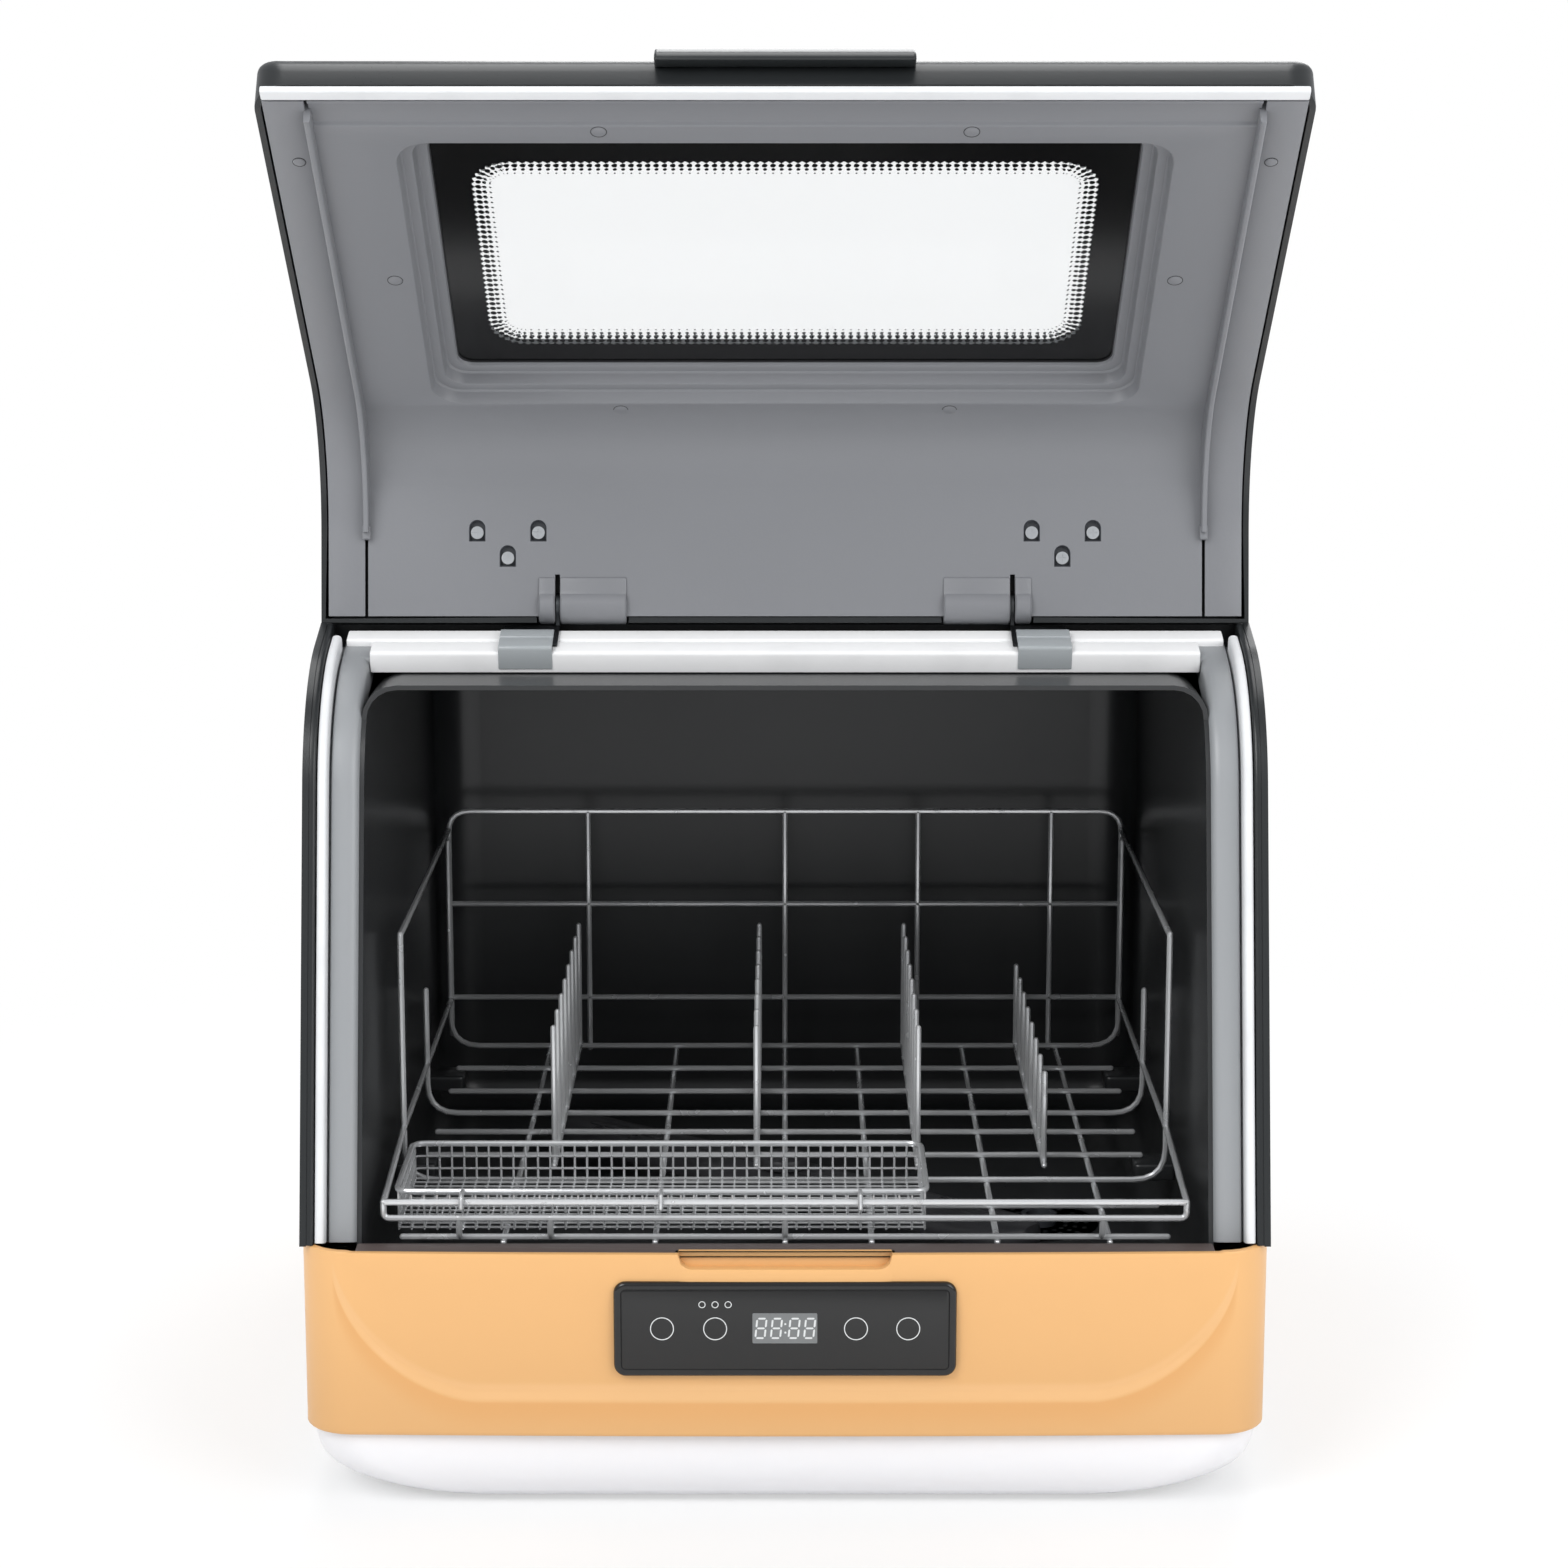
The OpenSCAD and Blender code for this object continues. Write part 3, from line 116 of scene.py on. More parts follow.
PIVOT = roof_at(HINGE_RUN, HINGE_RISE)


def mouth(start, end, radius=CROWN, turns=20):
    """Stations of the mouth line and their outward normals: straight from start, an arc that touches
    both lines, straight to end. The arc's reach along each line is radius * tan(half the turn)."""
    half = (FRONT - ROOF) / 2
    reach = radius * math.tan(half)
    centre = CORNER + heading((FRONT + ROOF) / 2 - QUARTER) * radius / math.cos(half)
    angles = np.linspace(FRONT, ROOF, turns + 1) + QUARTER
    end = max(end, reach + 0.01)
    stations = [front_at([start], 0), centre + radius * heading(angles), roof_at([end], 0)]
    normals = [heading(np.array([FRONT + QUARTER])), heading(angles), heading(np.array([ROOF + QUARTER]))]
    return np.concatenate(stations), np.concatenate(normals)


def along_mouth(section, start, end, radius=CROWN, turns=20):
    """Grid of a section of (x, d) points carried along the mouth line: station + d * normal."""
    stations, normals = mouth(start, end, radius, turns)
    section = np.asarray(section, float)
    yz = stations[:, None] + section[None, :, 1, None] * normals[:, None]
    x = np.broadcast_to(section[None, :, 0, None], yz.shape[:2] + (1,))
    return np.concatenate([x, yz], -1)


def swung(points, angle):
    """The points turned about the hinge pivot: y' = y cos a - z sin a and z' = y sin a + z cos a."""
    y, z = points[..., 1] - PIVOT[0], points[..., 2] - PIVOT[1]
    c, s = math.cos(angle), math.sin(angle)
    return np.stack([points[..., 0], PIVOT[0] + y * c - z * s, PIVOT[1] + y * s + z * c], -1)


def opened(points):
    """The points of the closed lid turned to its open rest."""
    return swung(points, -OPEN)


# A point in the hollow of the opened lid's curve, which the liner faces and the shell faces away from
LID_SPOT = opened(np.append(0.0, front_at(170.0, -60.0)))


def three(x, yz):
    """Points from x and (y, z) of the same or a broadcast shape."""
    x = np.broadcast_to(np.asarray(x, float), yz.shape[:-1])
    return np.concatenate([x[..., None], yz], -1)


def eased(points, radius, steps=4, closed=True):
    """A line of straight pieces whose corners become parabola arcs:
    (1 - t)^2 a + 2 t (1 - t) p + t^2 b, where a and b lie one reach before and after corner p."""
    p = np.asarray(points, float)
    reach = np.broadcast_to(np.asarray(radius, float), (len(p),))
    before, after = np.roll(p, 1, 0) - p, np.roll(p, -1, 0) - p
    lb, la = np.linalg.norm(before, axis=1), np.linalg.norm(after, axis=1)
    reach = np.minimum(reach, 0.48 * np.minimum(lb, la))
    if not closed:
        reach = reach.copy()
        reach[[0, -1]] = 0
    a = p + before * (reach / lb)[:, None]
    b = p + after * (reach / la)[:, None]
    t = np.linspace(0, 1, steps + 1)[None, :, None]
    line = (1 - t) ** 2 * a[:, None] + 2 * t * (1 - t) * p[:, None] + t ** 2 * b[:, None]
    line = line.reshape(-1, p.shape[1])
    keep = np.linalg.norm(line - np.roll(line, 1, 0), axis=1) > 1e-5
    keep[0] = True
    return line[keep]


def ring(x, y0, y1, front_r, back_r=None, steps=8):
    """Rounded rectangle of half width x from y0 to y1: four quarter circles joined by straight sides."""
    back_r = front_r if back_r is None else back_r
    t = np.linspace(0, QUARTER, steps + 1)
    corners = [
        (x - front_r, y0 + front_r, front_r, -QUARTER), (x - back_r, y1 - back_r, back_r, 0),
        (back_r - x, y1 - back_r, back_r, QUARTER), (front_r - x, y0 + front_r, front_r, 2 * QUARTER),
    ]
    return np.concatenate([np.array([cx, cy]) + r * heading(t + a) for cx, cy, r, a in corners])


def shrunk(outline, inset):
    """The outline moved inwards: each point slides along the mitre of the normals of its two sides."""
    side = np.roll(outline, -1, 0) - outline
    normal = np.stack([side[:, 1], -side[:, 0]], -1) / np.linalg.norm(side, axis=1)[:, None]
    area = np.sum(outline[:, 0] * np.roll(outline[:, 1], -1) - outline[:, 1] * np.roll(outline[:, 0], -1))
    other = np.roll(normal, 1, 0)
    mitre = (normal + other) / np.maximum(1 + np.sum(normal * other, 1), 0.3)[:, None]
    return outline - inset * mitre * np.sign(area)


def pillow(outline, low, high, edge, steps=3):
    """Levels and rings of a slab with round edges: level = low + e (1 - cos t) and inset = e (1 - sin t)
    for t from 0 to a quarter turn, the same again under the high face."""
    t = np.linspace(0, QUARTER, steps + 1)
    back, inset = edge * (1 - np.cos(t)), edge * (1 - np.sin(t))
    levels = np.concatenate([low + back, (high - back)[::-1]])
    rings = np.stack([shrunk(outline, i) for i in np.concatenate([inset, inset[::-1]])])
    return levels, rings


def facing_x(levels, rings):
    """Rings drawn in (y, z), stacked along x."""
    return three(levels[:, None], rings)


def roof_bar(line, x0, x1, edge, steps=3):
    """Rings of a slab with round edges from x0 to x1. Its outline is drawn in (r, d) on the roof line."""
    line = np.asarray(line)
    return facing_x(*pillow(roof_at(line[:, 0], line[:, 1]), x0, x1, edge, steps))


def front_bar(line, x0, x1, edge, steps=3):
    """The same with its outline drawn in (s, d) on the front line."""
    line = np.asarray(line)
    return facing_x(*pillow(front_at(line[:, 0], line[:, 1]), x0, x1, edge, steps))


def facing_y(levels, rings):
    """Rings drawn in (x, z), stacked along y."""
    y = np.broadcast_to(levels[:, None], rings.shape[:2])
    return np.stack([rings[..., 0], y, rings[..., 1]], -1)


def facing_z(levels, rings):
    """Rings drawn in (x, y), stacked along z."""
    z = np.broadcast_to(levels[:, None], rings.shape[:2])
    return np.stack([rings[..., 0], rings[..., 1], z], -1)


def on_front(levels, rings):
    """Rings drawn in (x, s) on the front line, stacked along its normal d."""
    d = np.broadcast_to(levels[:, None], rings.shape[:2])
    return three(rings[..., 0], front_at(rings[..., 1], d))


def on_roof(levels, rings):
    """Rings drawn in (x, r) on the roof line, stacked along its normal d."""
    d = np.broadcast_to(levels[:, None], rings.shape[:2])
    return three(rings[..., 0], roof_at(rings[..., 1], d))


def lathe(profile, sides=32, centre=(0, 0), turn=2 * math.pi):
    """A profile of (radius, height) points turned about the vertical axis: (r cos a, r sin a, h)."""
    profile = np.asarray(profile, float)
    a = np.arange(sides) * turn / sides
    x = centre[0] + profile[:, 0, None] * np.cos(a)
    y = centre[1] + profile[:, 0, None] * np.sin(a)
    return np.stack([x, y, np.broadcast_to(profile[:, 1, None], x.shape)], -1)


def along_axis(profile, axis, origin, sides=32):
    """A profile of (radius, run) points turned about the x or y axis through the origin point."""
    turned = lathe(profile, sides)
    order = {"x": [2, 0, 1], "y": [0, 2, 1]}[axis]
    return turned[..., order] + np.asarray(origin, float)


def tube(path, radius, sides=8, closed=False):
    """Rings round a flat path: point + radius (cos a * side + sin a * normal), where normal is the
    path's own plane and side is across the path in it. A radius of the path's length tapers it."""
    path = np.asarray(path, float)
    if closed:
        along = np.roll(path, -1, 0) - np.roll(path, 1, 0)
    else:
        along = np.gradient(path, axis=0)
    along /= np.linalg.norm(along, axis=1)[:, None]
    normal = np.linalg.svd(path - path.mean(0))[2][2]
    side = np.cross(along, normal)
    side /= np.linalg.norm(side, axis=1)[:, None]
    up = np.cross(side, along)
    a = (np.arange(sides) + 0.5) * 2 * math.pi / sides
    reach = np.broadcast_to(np.asarray(radius, float), (len(path),))[:, None, None]
    return path[:, None] + reach * (np.cos(a)[:, None] * side[:, None] + np.sin(a)[:, None] * up[:, None])


def round_tipped(path, radius, tips=(True, True)):
    """A path with short steps past its ends and the radii that close them: run r sin t, radius r cos t."""
    path = np.asarray(path, float)
    t = np.radians([30, 60, 84])
    parts, radii = [path], [np.full(len(path), radius)]
    for at_end in (0, 1):
        if not tips[at_end]:
            continue
        tip, inner = (path[-1], path[-2]) if at_end else (path[0], path[1])
        out = (tip - inner) / np.linalg.norm(tip - inner)
        steps = tip + radius * np.sin(t)[:, None] * out
        if at_end:
            parts.append(steps)
            radii.append(radius * np.cos(t))
        else:
            parts.insert(0, steps[::-1])
            radii.insert(0, (radius * np.cos(t))[::-1])
    return np.concatenate(parts), np.concatenate(radii)


def smooth(t):
    """Smooth step 3 t^2 - 2 t^3, held at its ends."""
    t = np.clip(t, 0, 1)
    return t * t * (3 - 2 * t)


class Skin:
    """Points and faces of one piece, gathered from grids and flat faces in millimetres."""

    def __init__(self, place=None):
        self.place = place
        self.points = []
        self.faces = []
        self.count = 0

    def add(self, points):
        """Keeps the points and returns the number of the first."""
        points = np.asarray(points, float)
        shaped = points if self.place is None else self.place(points)
        self.points.append(shaped.reshape(-1, 3))
        first = self.count
        self.count += self.points[-1].shape[0]
        return first

    def grid(self, points, wrap=True, close=False, ends=True):
        """Faces over rows and columns. wrap joins the last column to the first, close does so for
        rows, and ends lays a flat face over the first and the last row."""
        rows, columns = points.shape[:2]
        first = self.add(points)
        r, c = np.meshgrid(np.arange(rows if close else rows - 1),
                           np.arange(columns if wrap else columns - 1), indexing="ij")
        r1, c1 = (r + 1) % rows, (c + 1) % columns
        quads = np.stack([r * columns + c, r * columns + c1, r1 * columns + c1, r1 * columns + c], -1)
        self.faces.extend((quads.reshape(-1, 4) + first).tolist())
        if ends and not close:
            self.faces.append((np.arange(columns)[::-1] + first).tolist())
            self.faces.append((np.arange(columns) + first + (rows - 1) * columns).tolist())
        return self

    def flat(self, points):
        """One flat face through the points in turn."""
        first = self.add(points)
        self.faces.append((np.arange(len(points)) + first).tolist())
        return self

    def plate_round_hole(self, outer, hole, place):
        """A flat rectangle (x0, y0, x1, y1) with a hole, as two faces that meet on the hole's middle line.
        The hole is drawn anticlockwise, and place turns (x, y) points into the piece's own points."""
        x0, y0, x1, y1 = outer
        mid = (hole[:, 0].min() + hole[:, 0].max()) / 2
        low, high = hole[:, 1].min(), hole[:, 1].max()
        for sign, edge in ((1, x1), (-1, x0)):
            half = hole[(hole[:, 0] - mid) * sign > 1e-6]
            angle = np.arctan2(half[:, 1] - (low + high) / 2, (half[:, 0] - mid) * sign)
            half = half[np.argsort(angle)]
            line = [(mid, y0), (edge, y0), (edge, y1), (mid, y1), (mid, high)]
            self.flat(place(np.concatenate([line, half[::-1], [(mid, low)]])))
        return self

    @staticmethod
    def turn_islands(work, spot, sign):
        """Flips each island of joined faces until, summed by area, it faces away from the spot where
        sign is 1, or towards it where sign is -1."""
        waiting = set(work.faces)
        while waiting:
            queue, island = [waiting.pop()], []
            while queue:
                face = queue.pop()
                island.append(face)
                near = {other for edge in face.edges for other in edge.link_faces} & waiting
                waiting -= near
                queue.extend(near)
            away = 0.0
            for face in island:
                away += face.calc_area() * face.normal.dot(face.calc_center_median() - spot)
            if away * sign < 0:
                bmesh.ops.reverse_faces(work, faces=island)

    def piece(self, name, body, slot, nodes=(), finish=None, wall=0.0, spot=None, sign=1, bevel=0.0,
              sharp=32):
        """The mesh object: doubles merged and faces turned outwards. An open sheet is turned by a spot,
        given as (x, y, z), and Solidify gives it a wall behind its face. The finish is the slot's unless
        another is named."""
        mesh = bpy.data.meshes.new(name)
        points = np.concatenate(self.points)
        points[:, 1] -= SHIFT
        mesh.from_pydata(points * MM, [], self.faces)
        work = bmesh.new()
        work.from_mesh(mesh)
        bmesh.ops.remove_doubles(work, verts=work.verts, dist=2e-6)
        bmesh.ops.dissolve_degenerate(work, edges=work.edges, dist=1e-6)
        bmesh.ops.recalc_face_normals(work, faces=work.faces)
        if spot is not None:
            x, y, z = spot
            self.turn_islands(work, Vector((x, y - SHIFT, z)) * MM, sign)
        work.to_mesh(mesh)
        work.free()
        mesh.shade_smooth()
        mesh.set_sharp_from_angle(angle=math.radians(sharp))
        mesh.materials.append(FINISHES[finish or slot])
        made = bpy.data.objects.new(name, mesh)
        bpy.context.scene.collection.objects.link(made)
        if wall:
            thick = made.modifiers.new("Wall", "SOLIDIFY")
            thick.thickness = wall * MM
            thick.offset = -1
            thick.use_quality_normals = True
            graph = bpy.context.evaluated_depsgraph_get()
            made.data = bpy.data.meshes.new_from_object(made.evaluated_get(graph))
            made.modifiers.clear()
            made.data.name = name
            made.data.set_sharp_from_angle(angle=math.radians(sharp))
        if bevel:
            round_edge = made.modifiers.new("Edge", "BEVEL")
            round_edge.width = bevel * MM
            round_edge.segments = 2
            round_edge.limit_method = "ANGLE"
            round_edge.angle_limit = math.radians(50)
            round_edge.harden_normals = True
        if nodes:
            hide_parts(*nodes)
        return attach(made, body)


class Value:
    """A number in a node tree, worked on with Python's own operators."""

    def __init__(self, sheet, socket):
        self.sheet = sheet
        self.socket = socket

    def join(self, operation, other, turned=False):
        first, second = (other, self) if turned else (self, other)
        return self.sheet.maths(operation, first, second)

    def __add__(self, other):
        return self.join("ADD", other)

    def __radd__(self, other):
        return self.join("ADD", other, True)

    def __sub__(self, other):
        return self.join("SUBTRACT", other)

    def __rsub__(self, other):
        return self.join("SUBTRACT", other, True)

    def __mul__(self, other):
        return self.join("MULTIPLY", other)

    def __rmul__(self, other):
        return self.join("MULTIPLY", other, True)

    def __truediv__(self, other):
        return self.join("DIVIDE", other)

    def __lt__(self, other):
        return self.join("LESS_THAN", other)


def linear(colour):
    """Scene colour of a display colour given as three shares of one: ((c + 0.055) / 1.055)^2.4."""
    return [c / 12.92 if c <= 0.04045 else ((c + 0.055) / 1.055) ** 2.4 for c in colour[:3]] + [1.0]


class Sheet:
    """The node tree of one finish, with one Principled shader."""

    def __init__(self, name):
        self.material = bpy.data.materials.new(name)
        self.material.use_nodes = True
        self.tree = self.material.node_tree
        self.tree.nodes.clear()
        self.out = self.tree.nodes.new("ShaderNodeOutputMaterial")
        self.shader = self.tree.nodes.new("ShaderNodeBsdfPrincipled")
        self.tree.links.new(self.shader.outputs[0], self.out.inputs[0])
        self.coordinates = None

    def node(self, kind, settings, inputs):
        """A node of that type: its settings first, then values or links for its sockets."""
        made = self.tree.nodes.new(kind)
        for key, value in settings.items():
            if key == "stops":
                for i, (at, colour) in enumerate(value):
                    stop = made.color_ramp.elements[i] if i < 2 else made.color_ramp.elements.new(at)
                    stop.position = at
                    stop.color = colour
            else:
                setattr(made, key, value)
        for key, value in inputs.items():
            self.feed(made.inputs[key], value)
        return made

    def feed(self, socket, value):
        """Links a value to the socket, or writes the number or colour on it."""
        if isinstance(value, Value):
            self.tree.links.new(value.socket, socket)
        else:
            socket.default_value = value

    def maths(self, operation, *values):
        """A Math node's result."""
        made = self.node("ShaderNodeMath", {"operation": operation}, dict(enumerate(values)))
        return Value(self, made.outputs[0])

    def place(self):
        """Object coordinates, in metres."""
        if self.coordinates is None:
            self.coordinates = Value(self, self.node("ShaderNodeTexCoord", {}, {}).outputs["Object"])
        return self.coordinates

    def own(self, name):
        """A map of the piece's own, as its x and y."""
        made = self.node("ShaderNodeUVMap", {"uv_map": name}, {})
        return self.split(Value(self, made.outputs[0]))

    def split(self, vector):
        """The three numbers of a vector."""
        made = self.node("ShaderNodeSeparateXYZ", {}, {0: vector})
        return [Value(self, s) for s in made.outputs]

    def stretched(self, scale):
        """Object coordinates scaled along each axis."""
        made = self.node("ShaderNodeVectorMath", {"operation": "MULTIPLY"}, {0: self.place(), 1: scale})
        return Value(self, made.outputs[0])

    def noise(self, scale, detail=3.0, stretch=None):
        """Noise between 0 and 1 with that many waves to a metre."""
        vector = self.place() if stretch is None else self.stretched(stretch)
        made = self.node("ShaderNodeTexNoise", {}, {"Vector": vector, "Scale": scale, "Detail": detail})
        return Value(self, made.outputs[0])

    def mixed(self, share, first, second):
        """A colour between two, by a share from 0 to 1."""
        made = self.node("ShaderNodeMix", {"data_type": "RGBA"}, {0: share, 6: first, 7: second})
        return Value(self, made.outputs[2])

    def relief(self, height, depth):
        """A bump normal for a height of 0 to 1 that stands for that many millimetres."""
        made = self.node("ShaderNodeBump", {}, {"Strength": 1.0, "Distance": depth * MM, "Height": height})
        return Value(self, made.outputs[0])

    def set(self, **inputs):
        """Values for the shader's own sockets; an underscore stands for a space."""
        for key, value in inputs.items():
            self.feed(self.shader.inputs[key.replace("_", " ")], value)
        return self


def moulded(name, colour, roughness, grain=0.02, pitch=900.0, tone=0.03):
    """Moulded plastic: a fine spark-eroded grain, and slight changes of tone and shine from flow."""
    sheet = Sheet(name)
    base = linear(colour)
    flow = sheet.noise(6.0, 2.0)
    speck = sheet.noise(pitch, 2.0)
    light = [min(c * (1 + tone), 1) for c in base[:3]] + [1.0]
    dark = [c * (1 - tone) for c in base[:3]] + [1.0]
    sheet.set(Base_Color=sheet.mixed(flow * 0.75 + speck * 0.25, dark, light))
    sheet.set(Roughness=roughness + (flow - 0.5) * 0.08 + (speck - 0.5) * 0.06)
    sheet.set(Normal=sheet.relief(speck, grain))
    return sheet.material


def rubber(name, colour):
    """Soft seal: dull, with a faint mould line texture and dust in its grain."""
    sheet = Sheet(name)
    base = linear(colour)
    grain = sheet.noise(1400.0, 3.0)
    dust = smooth_share(sheet, sheet.noise(35.0, 3.0), 0.45, 0.75)
    dusty = [c * 0.94 for c in base[:3]] + [1.0]
    sheet.set(Base_Color=sheet.mixed(dust, base, dusty), Roughness=0.58 + dust * 0.1)
    sheet.set(Normal=sheet.relief(grain, 0.02), Specular_IOR_Level=0.35)
    return sheet.material


def smooth_share(sheet, value, low, high):
    """Share of the way from low to high, eased at both ends."""
    made = sheet.node("ShaderNodeMapRange", {"interpolation_type": "SMOOTHSTEP"},
                      {0: value, 1: low, 2: high, 3: 0.0, 4: 1.0})
    return Value(sheet, made.outputs[0])


def lipped(name, colour):
    """The lower casing's plastic: as moulded, with a tone that falls towards the foot, a paler stripe
    where the lip's slope faces up and a deeper one under it. The lip's line is that of lip_line."""
    sheet = Sheet(name)
    base = linear(colour)
    flow, speck = sheet.noise(6.0, 2.0), sheet.noise(1000.0, 2.0)
    x, y, z = sheet.split(sheet.place())
    inward = sheet.maths("MAXIMUM", 0.0, (0.205 - sheet.maths("ABSOLUTE", x)) / (LIP_RUN * MM))
    t = sheet.maths("POWER", sheet.maths("MINIMUM", inward, 1.0), 1 / LIP_BEND)
    line = LIP_TOP * MM - 0.063 * (1 - sheet.maths("POWER", 1 - t, LIP_BEND))
    above = z - line
    front = (1 - smooth_share(sheet, y, -0.2125, -0.2085)) * smooth_share(sheet, t, 0.0, 0.12)
    # Painted highlight: a paler band along the lip where its slope faces up towards the lamps.
    painted_highlight_band = smooth_share(sheet, above, -0.0066, -0.004) * front
    painted_highlight_band = painted_highlight_band * (1 - smooth_share(sheet, above, 0.0005, 0.004))
    # Painted shade: a deeper band just under the lip.
    under = smooth_share(sheet, above, -0.022, -0.0068) * front
    under = under * (1 - smooth_share(sheet, above, -0.0068, -0.005))
    # Painted light: the colour runs from darker at the foot to lighter at the top, with a little random tone
    # from flow and speck.
    height = smooth_share(sheet, z, 0.02, 0.13)
    light, dark = [[c * k for c in base[:3]] + [1.0] for k in (1.02, 0.86)]
    # Colours of the painted highlight band and of the painted shade band.
    pale, deep = [[c * k for c, k in zip(base[:3], shift)] + [1.0]
                  for shift in ((1.0, 1.07, 1.25), (0.87, 0.76, 0.62))]
    tone = sheet.mixed((flow * 0.75 + speck * 0.25) * 0.12 + height * 0.88, dark, light)
    tone = sheet.mixed(under * 0.55, tone, deep)
    sheet.set(Base_Color=sheet.mixed(painted_highlight_band * 0.6, tone, pale))
    sheet.set(Roughness=0.36 + (flow - 0.5) * 0.08 + (speck - 0.5) * 0.06)
    sheet.set(Normal=sheet.relief(speck, 0.015))
    return sheet.material


def drawn_wire(name, colour, roughness=0.2):
    """Electropolished wire: bright metal with soft drawing streaks and small dull spots at the welds."""
    sheet = Sheet(name)
    base = linear(colour)
    streak = sheet.noise(260.0, 2.0)
    spot = smooth_share(sheet, sheet.noise(90.0, 2.0), 0.62, 0.72)
    dull = [c * 0.7 for c in base[:3]] + [1.0]
    sheet.set(Base_Color=sheet.mixed(spot * 0.5, base, dull), Metallic=0.55)
    sheet.set(Roughness=roughness + spot * 0.15 + (streak - 0.5) * 0.08)
    sheet.set(Normal=sheet.relief(streak, 0.01))
    return sheet.material


def turned_metal(name, colour, roughness=0.32):
    """Pressed or turned metal: fine lines across the height and faint stains."""
    sheet = Sheet(name)
    base = linear(colour)
    lines = sheet.noise(1.0, 2.0, (40.0, 40.0, 2500.0))
    stain = sheet.noise(22.0, 4.0)
    stained = [base[0] * 0.82, base[1] * 0.8, base[2] * 0.76, 1.0]
    sheet.set(Base_Color=sheet.mixed(smooth_share(sheet, stain, 0.5, 0.75), base, stained), Metallic=1.0)
    sheet.set(Roughness=roughness + (lines - 0.5) * 0.16 + (stain - 0.5) * 0.1)
    sheet.set(Normal=sheet.relief(lines, 0.02))
    return sheet.material


def gloss_panel(name, colour):
    """Glossy printed sheet: deep even colour, faint orange peel and a few fine wipe marks."""
    sheet = Sheet(name)
    base = linear(colour)
    peel = sheet.noise(60.0, 1.0)
    wipe = sheet.noise(3.0, 3.0, (20.0, 3.0, 160.0))
    lifted = [c * 1.12 for c in base[:3]] + [1.0]
    sheet.set(Base_Color=sheet.mixed(wipe, base, lifted), Roughness=0.16 + (wipe - 0.5) * 0.1)
    sheet.set(Normal=sheet.relief(peel, 0.01))
    return sheet.material


def lamp_grey(name, colour):
    """Display filter or print: smoky, slightly lit from inside."""
    sheet = Sheet(name)
    base = linear(colour)
    fleck = sheet.noise(420.0, 2.0)
    dim = [c * 0.93 for c in base[:3]] + [1.0]
    sheet.set(Base_Color=sheet.mixed(fleck, dim, base), Roughness=0.3 + fleck * 0.1)
    return sheet.material


def circuit(name, colour):
    """Circuit board: green lacquer over raised tracks on a 2.5 mm grid, with tinned pads."""
    sheet = Sheet(name)
    base = linear(colour)
    x, y, z = sheet.split(sheet.place())
    pitch = 400.0
    wave_x = sheet.maths("SINE", x * (pitch * 2 * math.pi))
    wave_y = sheet.maths("SINE", (y + z) * (pitch * 2 * math.pi))
    patch = sheet.maths("ROUND", sheet.noise(70.0, 1.0))
    track = smooth_share(sheet, patch * wave_x + (1 - patch) * wave_y, 0.3, 0.5)
    pad = smooth_share(sheet, wave_x * wave_y, 0.82, 0.9)
    lacquer = sheet.mixed(track * 0.5, base, [c * 1.5 for c in base[:3]] + [1.0])
    sheet.set(Base_Color=sheet.mixed(pad, lacquer, linear((0.78, 0.78, 0.74))), Metallic=pad * 0.8)
    sheet.set(Roughness=0.35 + track * 0.1, Normal=sheet.relief(track, 0.05))
    return sheet.material


def printed_glass(name, tint, ink):
    """Window glass with a printed border. Its own map holds the way round the border, counted in dots,
    and the distance in from the print's edge in millimetres. Dots of radius 1.25, 0.9 and 0.45 mm stand
    in three rows inside a scalloped edge."""
    sheet = Sheet(name)
    way, depth, _ = sheet.own("Border")
    across = (sheet.maths("FRACT", way) - 0.5) * DOT_PITCH
    inked = depth < 1.1 + sheet.maths("ABSOLUTE", across) * -0.9
    for row, radius in ((2.6, 1.25), (5.2, 0.9), (7.8, 0.45)):
        rise = depth - row
        inked = sheet.maths("MAXIMUM", inked, across * across + rise * rise < radius * radius)
    smear = sheet.noise(9.0, 3.0)
    sheet.set(Base_Color=sheet.mixed(inked, linear(tint), linear(ink)))
    sheet.set(Alpha=inked * 0.84 + 0.16 + (smear - 0.5) * 0.02)
    sheet.set(Roughness=0.06 + smear * 0.05 + inked * 0.1, IOR=1.5)
    return sheet.material


FINISHES = {}


